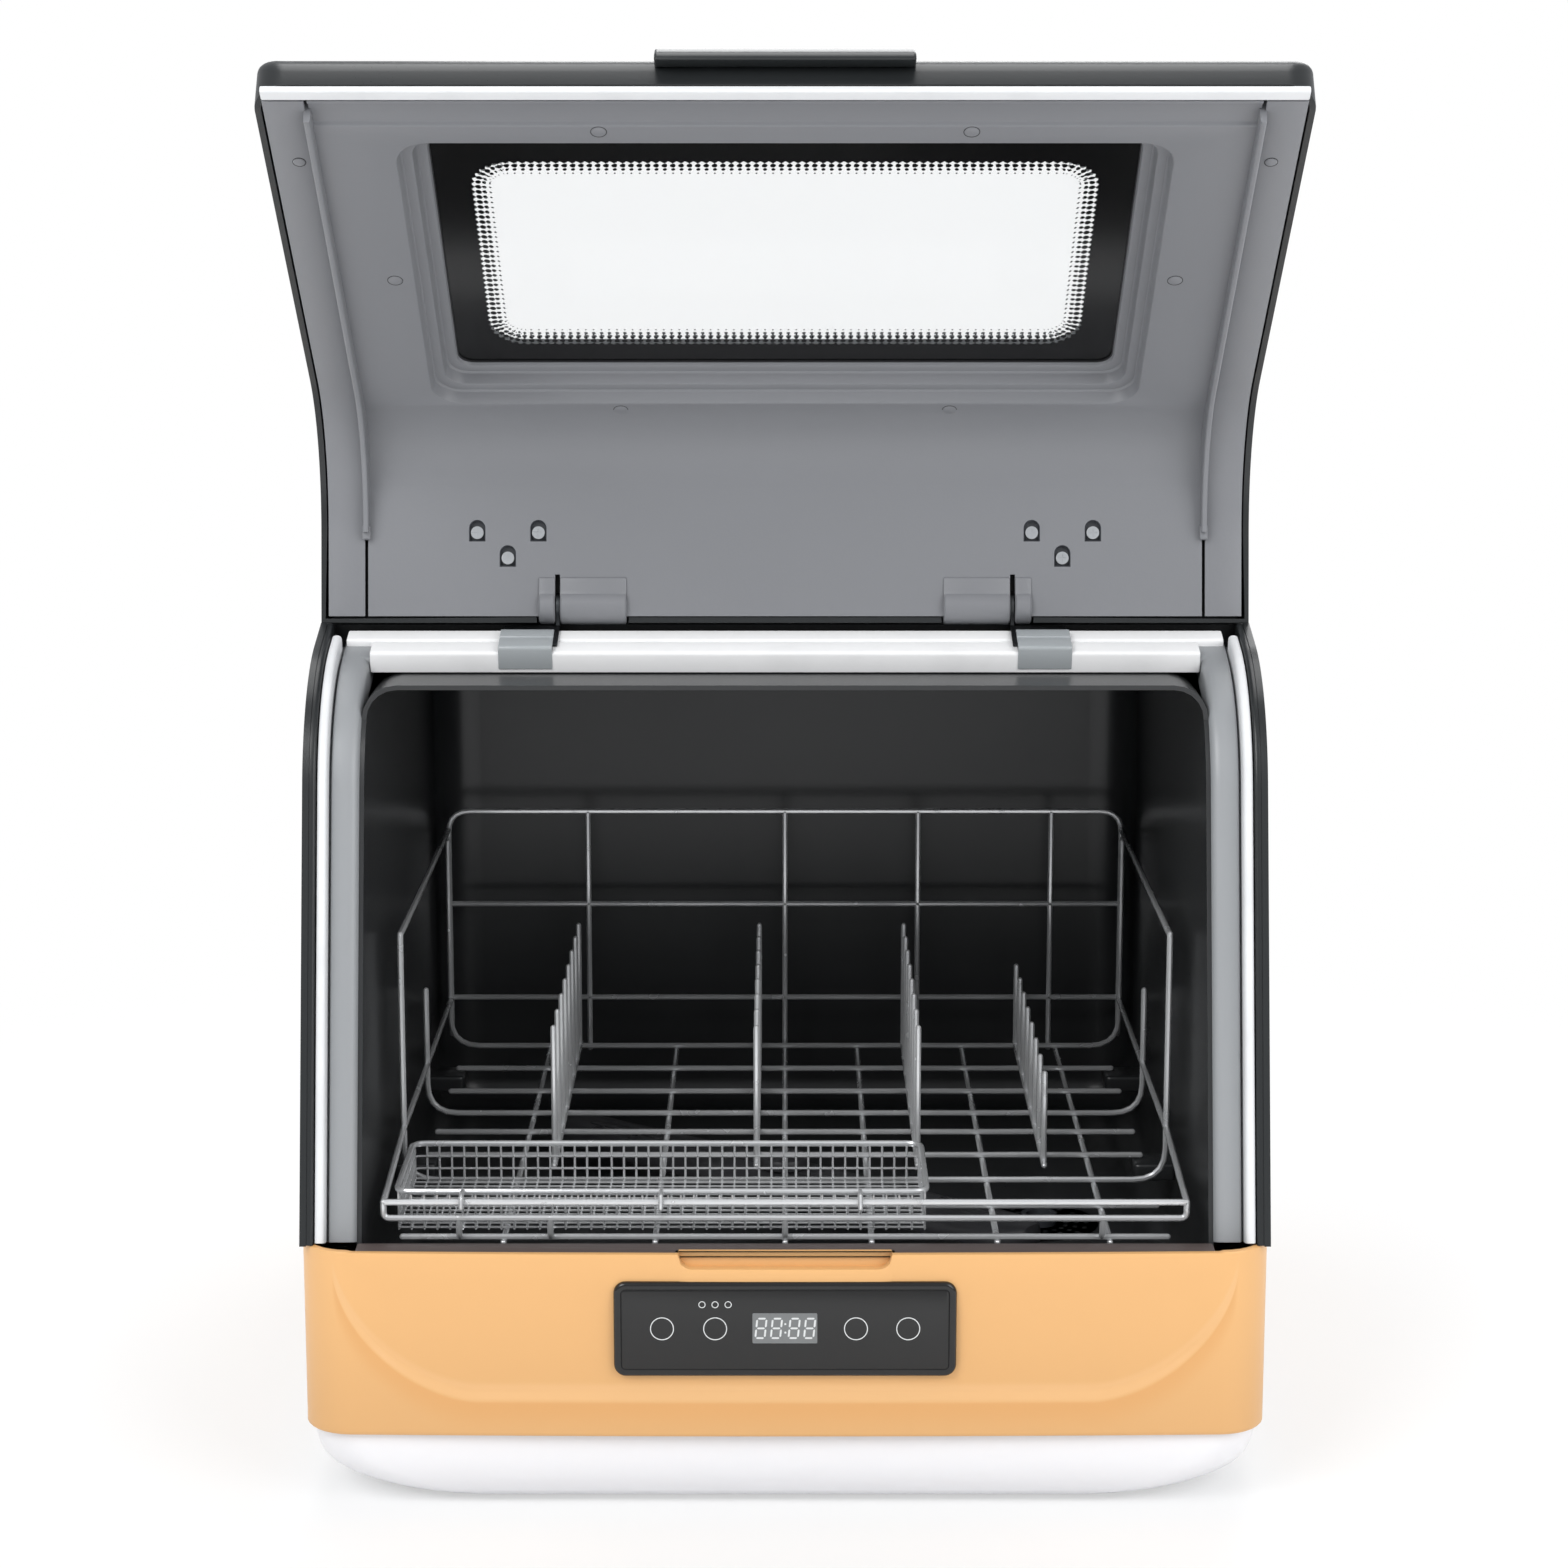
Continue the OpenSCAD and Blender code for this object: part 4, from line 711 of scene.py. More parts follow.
def make_finishes():
    """All finishes by the name of their material slot."""
    c = bpy.context.scene.dishwasher_colours
    FINISHES.update(
        white_plastic=moulded("white_plastic", c.base_tray, 0.34, 0.01, 1200.0, 0.01),
        # The orange finish carries painted light: a painted gradient, plus a painted highlight band and a
        # painted shade band along the lip.
        orange_plastic=lipped("orange_plastic", c.lower_casing),
        black_plastic=moulded("black_plastic", c.upper_casing, 0.3, 0.02, 900.0, 0.08),
        liner_grey=moulded("liner_grey", c.lid_liner, 0.42, 0.03, 800.0, 0.03),
        frame_grey=moulded("frame_grey", c.opening_frame, 0.36, 0.02, 900.0, 0.03),
        tub_dark=moulded("tub_dark", c.tub, 0.3, 0.02, 700.0, 0.08),
        # The second seal finish, near white, is a lit copy of the same seal rubber for the rear laths:
        # painted light.
        seal_white=rubber("seal_white", c.seals), seal_bright=rubber("seal_bright", (0.99, 0.99, 0.99)),
        rubber_dark=rubber("rubber_dark", (0.2, 0.2, 0.21)),
        panel_black=gloss_panel("panel_black", c.panel),
        display_grey=lamp_grey("display_grey", (0.47, 0.48, 0.483)),
        print_light=lamp_grey("print_light", (0.86, 0.87, 0.87)),
        board_green=circuit("board_green", (0.16, 0.42, 0.27)),
        glass_clear=printed_glass("glass_clear", (0.9, 0.92, 0.93), (0.03, 0.03, 0.032)),
        wire_steel=drawn_wire("wire_steel", c.wire), steel=turned_metal("steel", (0.8, 0.81, 0.82)),
        steel_dark=turned_metal("steel_dark", (0.3, 0.31, 0.32), 0.4),
        clip_grey=moulded("clip_grey", (0.66, 0.68, 0.69), 0.32, 0.02, 900.0, 0.02),
        part_dark=moulded("part_dark", (0.27, 0.28, 0.3), 0.45, 0.04, 600.0, 0.06),
        part_light=moulded("part_light", (0.8, 0.8, 0.78), 0.42, 0.03, 700.0, 0.03),
        trim_brown=moulded("trim_brown", (0.36, 0.32, 0.31), 0.4, 0.02, 900.0, 0.04),
        arm_dark=moulded("arm_dark", c.spray_arm, 0.34, 0.03, 800.0, 0.05),
    )


class DishwasherColours(bpy.types.PropertyGroup):
    """Display colours of the main mouldings."""
    base_tray: bpy.props.FloatVectorProperty(
        name="Base tray", description="Colour of the base tray", subtype="COLOR_GAMMA", size=3,
        min=0, max=1, default=(0.93, 0.93, 0.94))
    lower_casing: bpy.props.FloatVectorProperty(
        name="Lower casing", description="Colour of the lower casing", subtype="COLOR_GAMMA", size=3,
        min=0, max=1, default=(0.905, 0.7, 0.46))
    upper_casing: bpy.props.FloatVectorProperty(
        name="Upper casing", description="Colour of the upper casing and lid", subtype="COLOR_GAMMA", size=3,
        min=0, max=1, default=(0.13, 0.14, 0.145))
    lid_liner: bpy.props.FloatVectorProperty(
        name="Lid liner", description="Colour of the lid's liner", subtype="COLOR_GAMMA", size=3,
        min=0, max=1, default=(0.5, 0.505, 0.52))
    opening_frame: bpy.props.FloatVectorProperty(
        name="Opening frame", description="Colour of the frame round the mouth", subtype="COLOR_GAMMA",
        size=3, min=0, max=1, default=(0.59, 0.6, 0.61))
    tub: bpy.props.FloatVectorProperty(
        name="Tub", description="Colour of the tub", subtype="COLOR_GAMMA", size=3,
        min=0, max=1, default=(0.17, 0.175, 0.18))
    seals: bpy.props.FloatVectorProperty(
        name="Seals", description="Colour of the seals", subtype="COLOR_GAMMA", size=3,
        min=0, max=1, default=(0.9, 0.905, 0.91))
    panel: bpy.props.FloatVectorProperty(
        name="Panel", description="Colour of the control panel", subtype="COLOR_GAMMA", size=3,
        min=0, max=1, default=(0.1, 0.1, 0.1))
    wire: bpy.props.FloatVectorProperty(
        name="Wire", description="Colour of the rack's wires", subtype="COLOR_GAMMA", size=3,
        min=0, max=1, default=(0.9, 0.905, 0.91))
    spray_arm: bpy.props.FloatVectorProperty(
        name="Spray arm", description="Colour of the spray arm", subtype="COLOR_GAMMA", size=3,
        min=0, max=1, default=(0.22, 0.22, 0.23))


class DishwasherSizes(bpy.types.PropertyGroup):
    """Sizes that shape the visible pieces without moving their places."""
    bow: bpy.props.FloatProperty(
        name="Front bow", description="How far the front's ends lie behind its middle",
        default=3 * MM, min=0, max=4 * MM, unit="LENGTH")
    lip: bpy.props.FloatProperty(
        name="Lip depth", description="Depth of the field inside the moulded lip",
        default=2 * MM, min=0, max=2 * MM, unit="LENGTH")
    casing_corner: bpy.props.FloatProperty(
        name="Casing corner", description="Radius of the casings' upright corners",
        default=22 * MM, min=10 * MM, max=30 * MM, unit="LENGTH")
    lid_edge: bpy.props.FloatProperty(
        name="Lid edge", description="Radius of the lid's free edge",
        default=12 * MM, min=6 * MM, max=14 * MM, unit="LENGTH")
    wire: bpy.props.FloatProperty(
        name="Wire", description="Diameter of the rack's wires",
        default=3 * MM, min=2 * MM, max=4 * MM, unit="LENGTH")
    wire_bend: bpy.props.FloatProperty(
        name="Wire bend", description="Reach of the bends in the rack's wires",
        default=12 * MM, min=4 * MM, max=20 * MM, unit="LENGTH")
    mesh_pitch: bpy.props.FloatProperty(
        name="Mesh pitch", description="Distance between wires of the cutlery basket",
        default=6 * MM, min=4 * MM, max=12 * MM, unit="LENGTH")


def drawn_in(plan, out, rows):
    """The plan line drawn inwards against its outward directions, once for each row's (depth, height).
    Either may be one number for the whole line."""
    grid = []
    for depth, z in rows:
        moved = plan - out * np.broadcast_to(depth, len(plan))[:, None]
        grid.append(np.stack([moved[:, 0], moved[:, 1], np.broadcast_to(z, len(plan))], -1))
    return np.stack(grid)


def bowed(points):
    """The front drawn back towards its ends: y + bow (x / half width)^2, fading out over 90 mm."""
    bow = bpy.context.scene.dishwasher_sizes.bow / MM
    moved = np.array(points, float)
    share = smooth((80 - moved[..., 1]) / 90)
    moved[..., 1] += bow * share * (moved[..., 0] / HALF) ** 2
    return moved


def dress(slot, *names):
    """Gives CAD nodes that are shown as they are the finish of their slot."""
    for name in names:
        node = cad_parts[name]
        node.data.materials.clear()
        node.data.materials.append(FINISHES[slot])


def base_tray():
    """Tray wall: rounded rectangles stacked with inset 3.5 + 12.5 t^3.7 and corner radius
    22 + 43 t^1.8 as t runs from the top down to the floor, closed inside by the same wall 3 mm in.
    Its floor keeps a slotted vent of bars."""
    t = np.linspace(0, 1, 14)
    inset, radius, level = 3.5 + 12.5 * t ** 3.7, 22 + 43 * t ** 1.8, BASE_Z - (BASE_Z - FOOT_Z) * t
    rows = [(3.9, 21, BASE_Z + 0.4)] + list(zip(inset, radius, level))[:-1]
    rows += [(16, 65, FOOT_Z + 0.8), (17.2, 64, FOOT_Z)]
    inner = [(i + 3, max(r - 3, 8), z + 3 * (z < 20)) for i, r, z in rows[::-1][1:]]
    rings = [facing_z(np.array([z]), ring(HALF - i, i - APRON, BACK_Y - i, r)[None]) for i, r, z in rows]
    vent = [(53.5, 157, 233, z) for z in (FOOT_Z, FOOT_Z + 3)]
    rings += [facing_z(np.array([z]), ring(x, a, b, 2)[None]) for x, a, b, z in vent]
    rings += [facing_z(np.array([z]), ring(HALF - i, i - APRON, BACK_Y - i, r)[None]) for i, r, z in inner]
    skin = Skin(bowed).grid(np.concatenate(rings), close=True)
    for i in range(10):
        bar = ring(3.5, 156, 234, 1, steps=2) + np.array([(i - 4.5) * 12, 0])
        skin.grid(facing_z(*pillow(bar, FOOT_Z + 0.4, FOOT_Z + 3, 0.5, 1)))
    skin.piece("base_tray_moulding", "base", "white_plastic", ["base_tray"])
    foot = Skin()
    for x in (-158, 158):
        for y in (44, BACK_Y - 44):
            profile = [(0.5, 0), (11.5, 0), (13, 0.4), (14, 1.6), (13.6, FOOT_Z), (5, FOOT_Z + 0.2),
                       (5, FOOT_Z + 6)]
            foot.grid(lathe(profile, 32, (x, y)))
    foot.piece("foot_pads", "base", "rubber_dark", ["feet"])


def lip_line(x, half, low):
    """Height of the lip's line at x: top - (top - low) (1 - (1 - t)^bend), where t^bend is the share of
    the way in from the half width over the run. It is level at low all through the middle."""
    t = np.clip((half - np.abs(x)) / LIP_RUN, 0, 1) ** (1 / LIP_BEND)
    return LIP_TOP - (LIP_TOP - low) * (1 - (1 - t) ** LIP_BEND)


def lower_casing():
    """One wall round the body: its plan is a rounded rectangle, and at each point of the plan the same
    rows of a section run up the outside, over the edge and down inside. On the front, rows follow the
    two lines of the lip, and between them the wall falls back by the lip's depth as a smooth step.
    The top row dips round the finger scoop."""
    sizes = bpy.context.scene.dishwasher_sizes
    corner, lip = sizes.casing_corner / MM, sizes.lip / MM
    flat = HALF - corner
    dips = np.concatenate([np.linspace(41.9, 48, 9), np.linspace(130, flat, 36),
                           [10, 20, 30, 48.4, 60, 75, 95, 115]])
    x = np.unique(np.round(np.concatenate([dips, -dips, [0]]), 3))
    t = np.linspace(0, QUARTER, 9)
    corners = [(flat, corner - APRON, -QUARTER), (flat, BACK_Y - corner, 0),
               (-flat, BACK_Y - corner, QUARTER), (-flat, corner - APRON, 2 * QUARTER)]
    plan = [np.stack([x[1:-1], np.full(len(x) - 2, -APRON)], -1)]
    out = [np.tile([0.0, -1.0], (len(x) - 2, 1))]
    for cx, cy, a in corners:
        out.append(heading(t + a))
        plan.append(np.array([cx, cy]) + corner * heading(t + a))
    plan, out = np.concatenate(plan), np.concatenate(out)
    fore = plan[:, 1] < corner - APRON
    px = np.where(fore, plan[:, 0], HALF)
    inner, outer = lip_line(px, 203, 65), lip_line(px, 208, 54)
    inner = np.maximum(inner, outer + 0.15)
    ax = np.abs(px)
    scoop = np.where(ax < 42, 117, 123 - np.sqrt(np.maximum(36 - (ax - 42) ** 2, 0)))
    in_scoop = fore & (ax < 48.2)
    sill = np.where(fore & (ax < flat), SILL_Z - 0.5, SILL_Z)
    top = np.where(in_scoop, np.minimum(scoop, sill - 0.6), sill - 0.6)
    depth = lip * smooth((205 - ax) / 26) * fore
    rows = [(2.4, BASE_Z), (0.5, BASE_Z), (0, BASE_Z + 0.6)]
    start = BASE_Z + 2
    for u in np.linspace(0, 1, 5)[:-1]:
        rows.append((0, start + (outer - start) * u))
    for u in (0, 0.06, 0.16, 0.35, 0.6, 0.82, 0.94, 1):
        rows.append((depth * smooth(u), outer + (inner - outer) * 0.55 * u))
    for u in (0.1, 0.25, 0.5, 0.7, 0.8, 0.9, 0.97):
        rows.append((depth * (1 - smooth((u - 0.45) / 0.5)), inner + (top - inner) * u))
    pocket = np.where(in_scoop, 5.5, 2.6)
    floor_z = np.where(in_scoop, top + 0.5, sill)
    rows += [(0, top), (0.25, np.where(in_scoop, top + 0.4, sill - 0.18)), (0.8, floor_z),
             (pocket, floor_z), (pocket, sill), (pocket + 0.5, sill)]
    inside = np.where(in_scoop, 7.5, 3.0)
    rows += [(inside, sill), (inside, sill - 12), (3.0, sill - 14), (3.0, BASE_Z)]
    skin = Skin(bowed).grid(drawn_in(plan, out, rows), close=True)
    skin.piece("lower_casing_moulding", "base", "orange_plastic", ["lower_casing"], sharp=40)


def front_trim():
    """Dark strip behind the front edge: a round-edged bar, cut back in the middle by the finger scoop."""
    low = SILL_Z - 3
    plan = np.array([(-MOUTH_X + 0.3, -6.6), (-49, -6.6), (-49, -3.6), (49, -3.6), (49, -6.6),
                     (MOUTH_X - 0.3, -6.6), (MOUTH_X - 0.3, 7), (-MOUTH_X + 0.3, 7)])
    bar = eased(plan, [1, 0.6, 0.6, 0.6, 0.6, 1, 1, 1], 3)
    Skin().grid(facing_z(*pillow(bar, low, SILL_Z - 0.6, 0.5, 2))).piece(
        "front_trim_strip", "base", "trim_brown", ["front_trim"])


def top_sections(radius, steps=6):
    """Insets and drops of a quarter-round edge of each radius: r (1 - cos t) in, r (1 - sin t) down."""
    t = np.linspace(0, QUARTER, steps)
    return [(radius * (1 - np.cos(a)), radius * (1 - np.sin(a))) for a in t]


def upper_casing():
    """A hood 3 mm thick: two flat cheeks whose front follows the mouth line, upright rear corners, and
    a fixed top that joins them over a quarter-round edge, 5 mm at the sides and 18 mm at the back.
    Rims with a round nose follow the mouth line beside the seals, and a channel closes the hinge's room."""
    corner = bpy.context.scene.dishwasher_sizes.casing_corner / MM
    skin = Skin()
    stations, _ = mouth(0, CHEEK_RUN)
    under = PIVOT + UNDER_R * heading(np.radians(np.linspace(-135.1, -93.2, 6)))
    swept = PIVOT + SWEPT_R * heading(np.radians(np.linspace(-83.55, 2.8, 12)))
    flat_y = BACK_Y - corner
    y_side = np.array([CHANNEL_Y, 240, 330])
    t = np.linspace(0, QUARTER, 9)
    plan = [np.stack([np.full(3, HALF), y_side], -1),
            np.array([HALF - corner, flat_y]) + corner * heading(t),
            np.array([corner - HALF, flat_y]) + corner * heading(t + QUARTER),
            np.stack([np.full(3, -HALF), y_side[::-1]], -1)]
    out = [np.tile([1.0, 0.0], (3, 1)), heading(t), heading(t + QUARTER), np.tile([-1.0, 0.0], (3, 1))]
    share = np.concatenate([np.zeros(3), smooth(t / QUARTER), smooth(1 - t / QUARTER), np.zeros(3)])
    plan, out = np.concatenate(plan), np.concatenate(out)
    edge = 5 + 13 * share
    rows = [(0, SILL_Z + 0.2)] + [(i, TOP_Z - d) for i, d in top_sections(edge)]
    grid = drawn_in(plan, out, rows)
    skin.grid(grid[:, 3:-3], wrap=False, ends=False)
    skin.grid(grid[1:, :4], wrap=False, ends=False).grid(grid[1:, -4:], wrap=False, ends=False)
    skin.flat(grid[-1])
    for side, columns in ((1, grid[1, :3]), (-1, grid[1, -3:][::-1])):
        line = np.concatenate([stations, under[1:], swept, [[CHANNEL_Y, PIVOT[1] + 1]]])
        low = np.array([[flat_y, SILL_Z + 0.2], [0, SILL_Z + 0.2]])
        face = np.concatenate([three(side * HALF, line), columns, [grid[1, 3 if side > 0 else -4]],
                               three(side * HALF, low)])
        skin.flat(face)
    skin.piece("upper_casing_hood", "base", "black_plastic", ["upper_casing"],
               wall=3, spot=(0, 220, 250), bevel=0.6)
    rims = Skin()
    for side in (1, -1):
        section = np.array([(213.9, -12.2), (213.9, -0.5), (219.6, -0.5), (219.6, -12.2)]) * (side, 1)
        rims.grid(along_mouth(eased(section, [0.5, 1.6, 2.6, 0.5]), 0.4, CHEEK_RUN - 0.3))
    end = roof_at(RAIL_1, -16)[0] + 0.3
    wall = np.array([(end, CHANNEL_Z - 2.5), (CHANNEL_Y + 2.5, CHANNEL_Z - 2.5),
                     (CHANNEL_Y + 2.5, TOP_Z - 2), (CHANNEL_Y, TOP_Z - 2), (CHANNEL_Y, CHANNEL_Z),
                     (end, CHANNEL_Z)])
    rims.grid(facing_x(*pillow(eased(wall, 1.0, 3), -HALF + 2.6, HALF - 2.6, 0.3, 1)))
    rims.piece("upper_casing_rims", "base", "black_plastic")


def control_panel():
    """A raised frame with a quarter-round edge, a glossy field set into it, and flat rings, marks and
    seven-segment digits that stand a hair above the field. A ring is two circles joined flat."""
    mid, face = 89.5, -11.4
    outline = ring(77.5, mid - 22.3, mid + 22.3, 5.5)
    t = np.linspace(0, QUARTER, 5)
    levels = np.concatenate([[-8.6], face + 1.8 * (1 - np.sin(t)), [face, face + 0.5]])
    insets = np.concatenate([[0], 1.8 * (1 - np.cos(t)), [3.2, 3.6]])
    frame_grid = facing_y(levels, np.stack([shrunk(outline, i) for i in insets]))
    Skin().grid(frame_grid).piece("panel_frame", "base", "panel_black", ["panel_housing"])
    field = shrunk(outline, 3.75)
    Skin().grid(facing_y(*pillow(field, face + 0.3, face + 1.2, 0.25, 2))).piece(
        "touch_field", "base", "panel_black", ["touch_panel"])
    top = face + 0.26
    prints = Skin()
    a = np.linspace(0, 2 * math.pi, 41)[:-1]
    for x, z, r, wide in [(x, 90.0, 5.4, 0.42) for x in (-55.6, -31.6, 32.0, 55.6)] + \
            [(x, 101.4, 1.6, 0.36) for x in (-37.5, -31.6, -25.7)]:
        circles = [np.array([x, z]) + q * heading(a) for q in (r, r - wide, r - wide, r)]
        prints.grid(facing_y(np.array([top - 0.05, top - 0.05, top + 0.1, top + 0.1]), np.stack(circles)),
                    close=True)
    digits = Skin()
    for column in (-10.9, -3.9, 4.1, 11.1):
        for dx, dz, long, upright in (
                (0, 4.6, 3.6, 0), (0, 0, 3.6, 0), (0, -4.6, 3.6, 0), (-2.1, 2.3, 3.7, 1),
                (2.1, 2.3, 3.7, 1), (-2.1, -2.3, 3.7, 1), (2.1, -2.3, 3.7, 1)):
            h, w = long / 2, 0.42
            bar = np.array([(-h, 0), (-h + w, -w), (h - w, -w), (h, 0), (h - w, w), (-h + w, w)])
            bar = bar[:, ::-1] if upright else bar
            lean = np.array([dx + 0.1 * dz, dz]) + np.stack([bar[:, 0] + 0.1 * bar[:, 1], bar[:, 1]], -1)
            digits.grid(facing_y(np.array([top - 0.02, top + 0.08]), np.stack([lean + (column, 90.2)] * 2)))
    for dz in (2.0, -2.0):
        dot = np.array([0.1, 90.2 + dz]) + 0.5 * heading(a[::4])
        digits.grid(facing_y(np.array([top - 0.02, top + 0.08]), np.stack([dot] * 2)))
    prints.piece("panel_rings", "base", "display_grey", finish="print_light")
    digits.piece("display_digits", "base", "display_grey", finish="print_light")
    lens = eased([(-14.8, 83), (14.6, 83), (14.6, 97.4), (-14.8, 97.4)], 0.7)
    Skin().grid(facing_y(*pillow(lens, top - 0.01, top + 2, 0.1, 1))).piece(
        "display_lens", "base", "display_grey", ["display"])


def tub():
    """An open box 2.2 mm thick. Below the sill its rows are closed rounded rectangles that spread from the
    floor through a 14 mm fillet. Above it each row runs from the mouth line down one side, round the two
    rear corners and up the other side, and a second fillet turns into the roof."""
    skin = Skin()
    half, front, back, floor, roof, turn = 193.0, 10.0, 400.0, 78.0, 368.0, 25.0
    cut = SILL_Z - 3.4
    t = np.linspace(0, QUARTER, 6)
    levels = np.concatenate([floor + 14 * (1 - np.sin(t)[::-1]), [cut]])
    insets = np.concatenate([14 * (1 - np.cos(t)[::-1]), [0]])[:, None]
    lower = np.stack([ring(half - i, front + i, back - i, max(8 - i * 0.3, 3), turn - i * 0.5)
                      for i in insets[:, 0]])
    skin.grid(facing_z(levels, lower), ends=False)
    skin.flat(facing_z(levels[:1], lower[:1])[0])
    upper = np.concatenate([np.linspace(cut, 290, 14), np.linspace(298, roof - 14, 12)])
    stations, normals = mouth(-6, RAIL_0 + 10)
    edge = stations - 10.4 * normals
    start = np.interp(upper, edge[:, 1], edge[:, 0], left=front)
    side = np.array([0, 0.02, 0.25, 0.5, 0.75, 1.0])
    t2 = np.linspace(0, QUARTER, 9)
    rows = []
    for z, y0 in zip(upper, start):
        y = y0 + (back - turn - y0) * side
        right = np.stack([np.full(6, half), y], -1)
        corner_a = np.array([half - turn, back - turn]) + turn * heading(t2[1:])
        corner_b = np.array([turn - half, back - turn]) + turn * heading(t2[:-1] + QUARTER)
        left = np.stack([np.full(6, -half), y[::-1]], -1)
        plan = np.concatenate([right, corner_a, corner_b, left])
        rows.append(np.concatenate([plan, np.full((len(plan), 1), z)], 1))
    base = np.array(rows)
    fillet = []
    for a in t[1:]:
        top = base[-1].copy()
        pull = 14 * (1 - np.cos(a))
        top[:, 0] -= np.sign(top[:, 0]) * pull * (np.abs(top[:, 0]) > 150)
        top[:, 1] -= pull * smooth((top[:, 1] - 340) / 60)
        top[:, 2] = roof - 14 * (1 - np.sin(a))
        fillet.append(top)
    grid = np.concatenate([base, np.array(fillet)])
    skin.grid(grid, wrap=False, ends=False)
    skin.flat(grid[-1])
    skin.piece("tub_moulding", "base", "tub_dark", ["tub"], wall=2.2, spot=(0, 200, 250), sign=-1)
    ledges = Skin()
    for sx in (-1, 1):
        for y in (150, 310):
            box = eased([(sx * 172.5, y), (sx * 193.5, y), (sx * 193.5, y + 20), (sx * 172.5, y + 20)], 3)
            ledges.grid(facing_z(*pillow(box, 109, 117.7, 1.5)))
    ledges.piece("rack_ledges", "base", "tub_dark")


def opening_frame():
    """The flange's section is a polygon with eased corners: a face 7 mm under the mouth line, a return
    into the tub and a trough for the seal. It is carried along the mouth line on both sides and meets
    a bar across the rear. The seals are beads with round tops carried the same way."""
    skin = Skin()
    for side in (1, -1):
        section = [(194.9, -22), (194.9, -7.0), (207.6, -7.0), (207.6, -13.2), (213.6, -13.2),
                   (213.6, -14.6), (206.0, -14.6), (206.0, -10.4), (197.6, -10.4), (197.6, -22)]
        section = np.array(section) * (side, 1)
        skin.grid(along_mouth(eased(section, [0.5, 5, 1, 0.4, 0.3, 0.3, 0.5, 0.5, 2, 0.5]), 1.4, RAIL_1))
    bar = np.array([(RAIL_0, -13.6), (RAIL_0, -7.05), (RAIL_1, -7.05), (RAIL_1, -16), (RAIL_1 - 2, -16),
                    (RAIL_1 - 2, -10.2), (RAIL_0 + 2, -10.2), (RAIL_0 + 2, -13.6)])
    bar = eased(bar, [0.5, 3, 1.5, 0.5, 0.5, 0.5, 2, 0.5])
    skin.grid(roof_bar(bar, -RAIL_X + 0.1, RAIL_X - 0.1, 0.3, 1))
    skin.piece("opening_frame_flange", "base", "frame_grey", ["opening_frame"])
    beads = Skin()
    for side in (1, -1):
        section = np.array([(208.8, -12.8), (208.8, -0.7), (213.4, -0.7), (213.4, -12.8)]) * (side, 1)
        beads.grid(along_mouth(eased(section, [0.3, 2.2, 2.2, 0.3], 6), 1.4, RAIL_0 + 12))
    beads.piece("side_seal_beads", "base", "seal_white", ["side_seals"])
    rear = Skin()
    low, high, lip = RAIL_0 - 1.3, RAIL_0 + 11.4, RAIL_0 - 0.1
    lath = eased([(low, -14), (low, -3.6), (high, -3.6), (high, -7.0), (lip, -7.0), (lip, -14)],
                 [0.5, 1.8, 1.0, 0.3, 0.3, 0.4])
    half = MOUTH_X - 0.2
    rear.grid(roof_bar(lath, -half, half, 0.8, 2))
    low, high, half = RAIL_0 + 13.6, RAIL_1 - 2, RAIL_X - 0.6
    lath = eased([(low, -7.2), (low, -3.6), (high, -3.6), (high, -7.2)], [0.3, 1.6, 1.0, 0.3])
    rear.grid(roof_bar(lath, -half, half, 0.8, 2))
    # The rear laths take the near-white lit copy of the seal rubber (painted light); the groove web keeps
    # the plain seal finish.
    rear.piece("rear_seal_beads", "base", "seal_white", ["rear_seal"], finish="seal_bright")
    web = eased([(RAIL_0 + 10, -7.1), (RAIL_0 + 10, -5.6), (RAIL_0 + 15, -5.6), (RAIL_0 + 15, -7.1)], 0.2, 1)
    Skin().grid(roof_bar(web, -MOUTH_X, MOUTH_X, 0.2, 1)).piece("rear_seal_groove", "base", "seal_white")


def blade(width, t):
    """Half width of the spray arm a share t along it: it narrows by 16 percent and ends in an ellipse."""
    x = np.abs(t)
    end = np.sqrt(np.clip(1 - np.clip((x - 0.86) / 0.14, 0, 1) ** 2, 0, 1))
    return width / 2 * (1 - 0.16 * smooth(x / 0.8)) * end


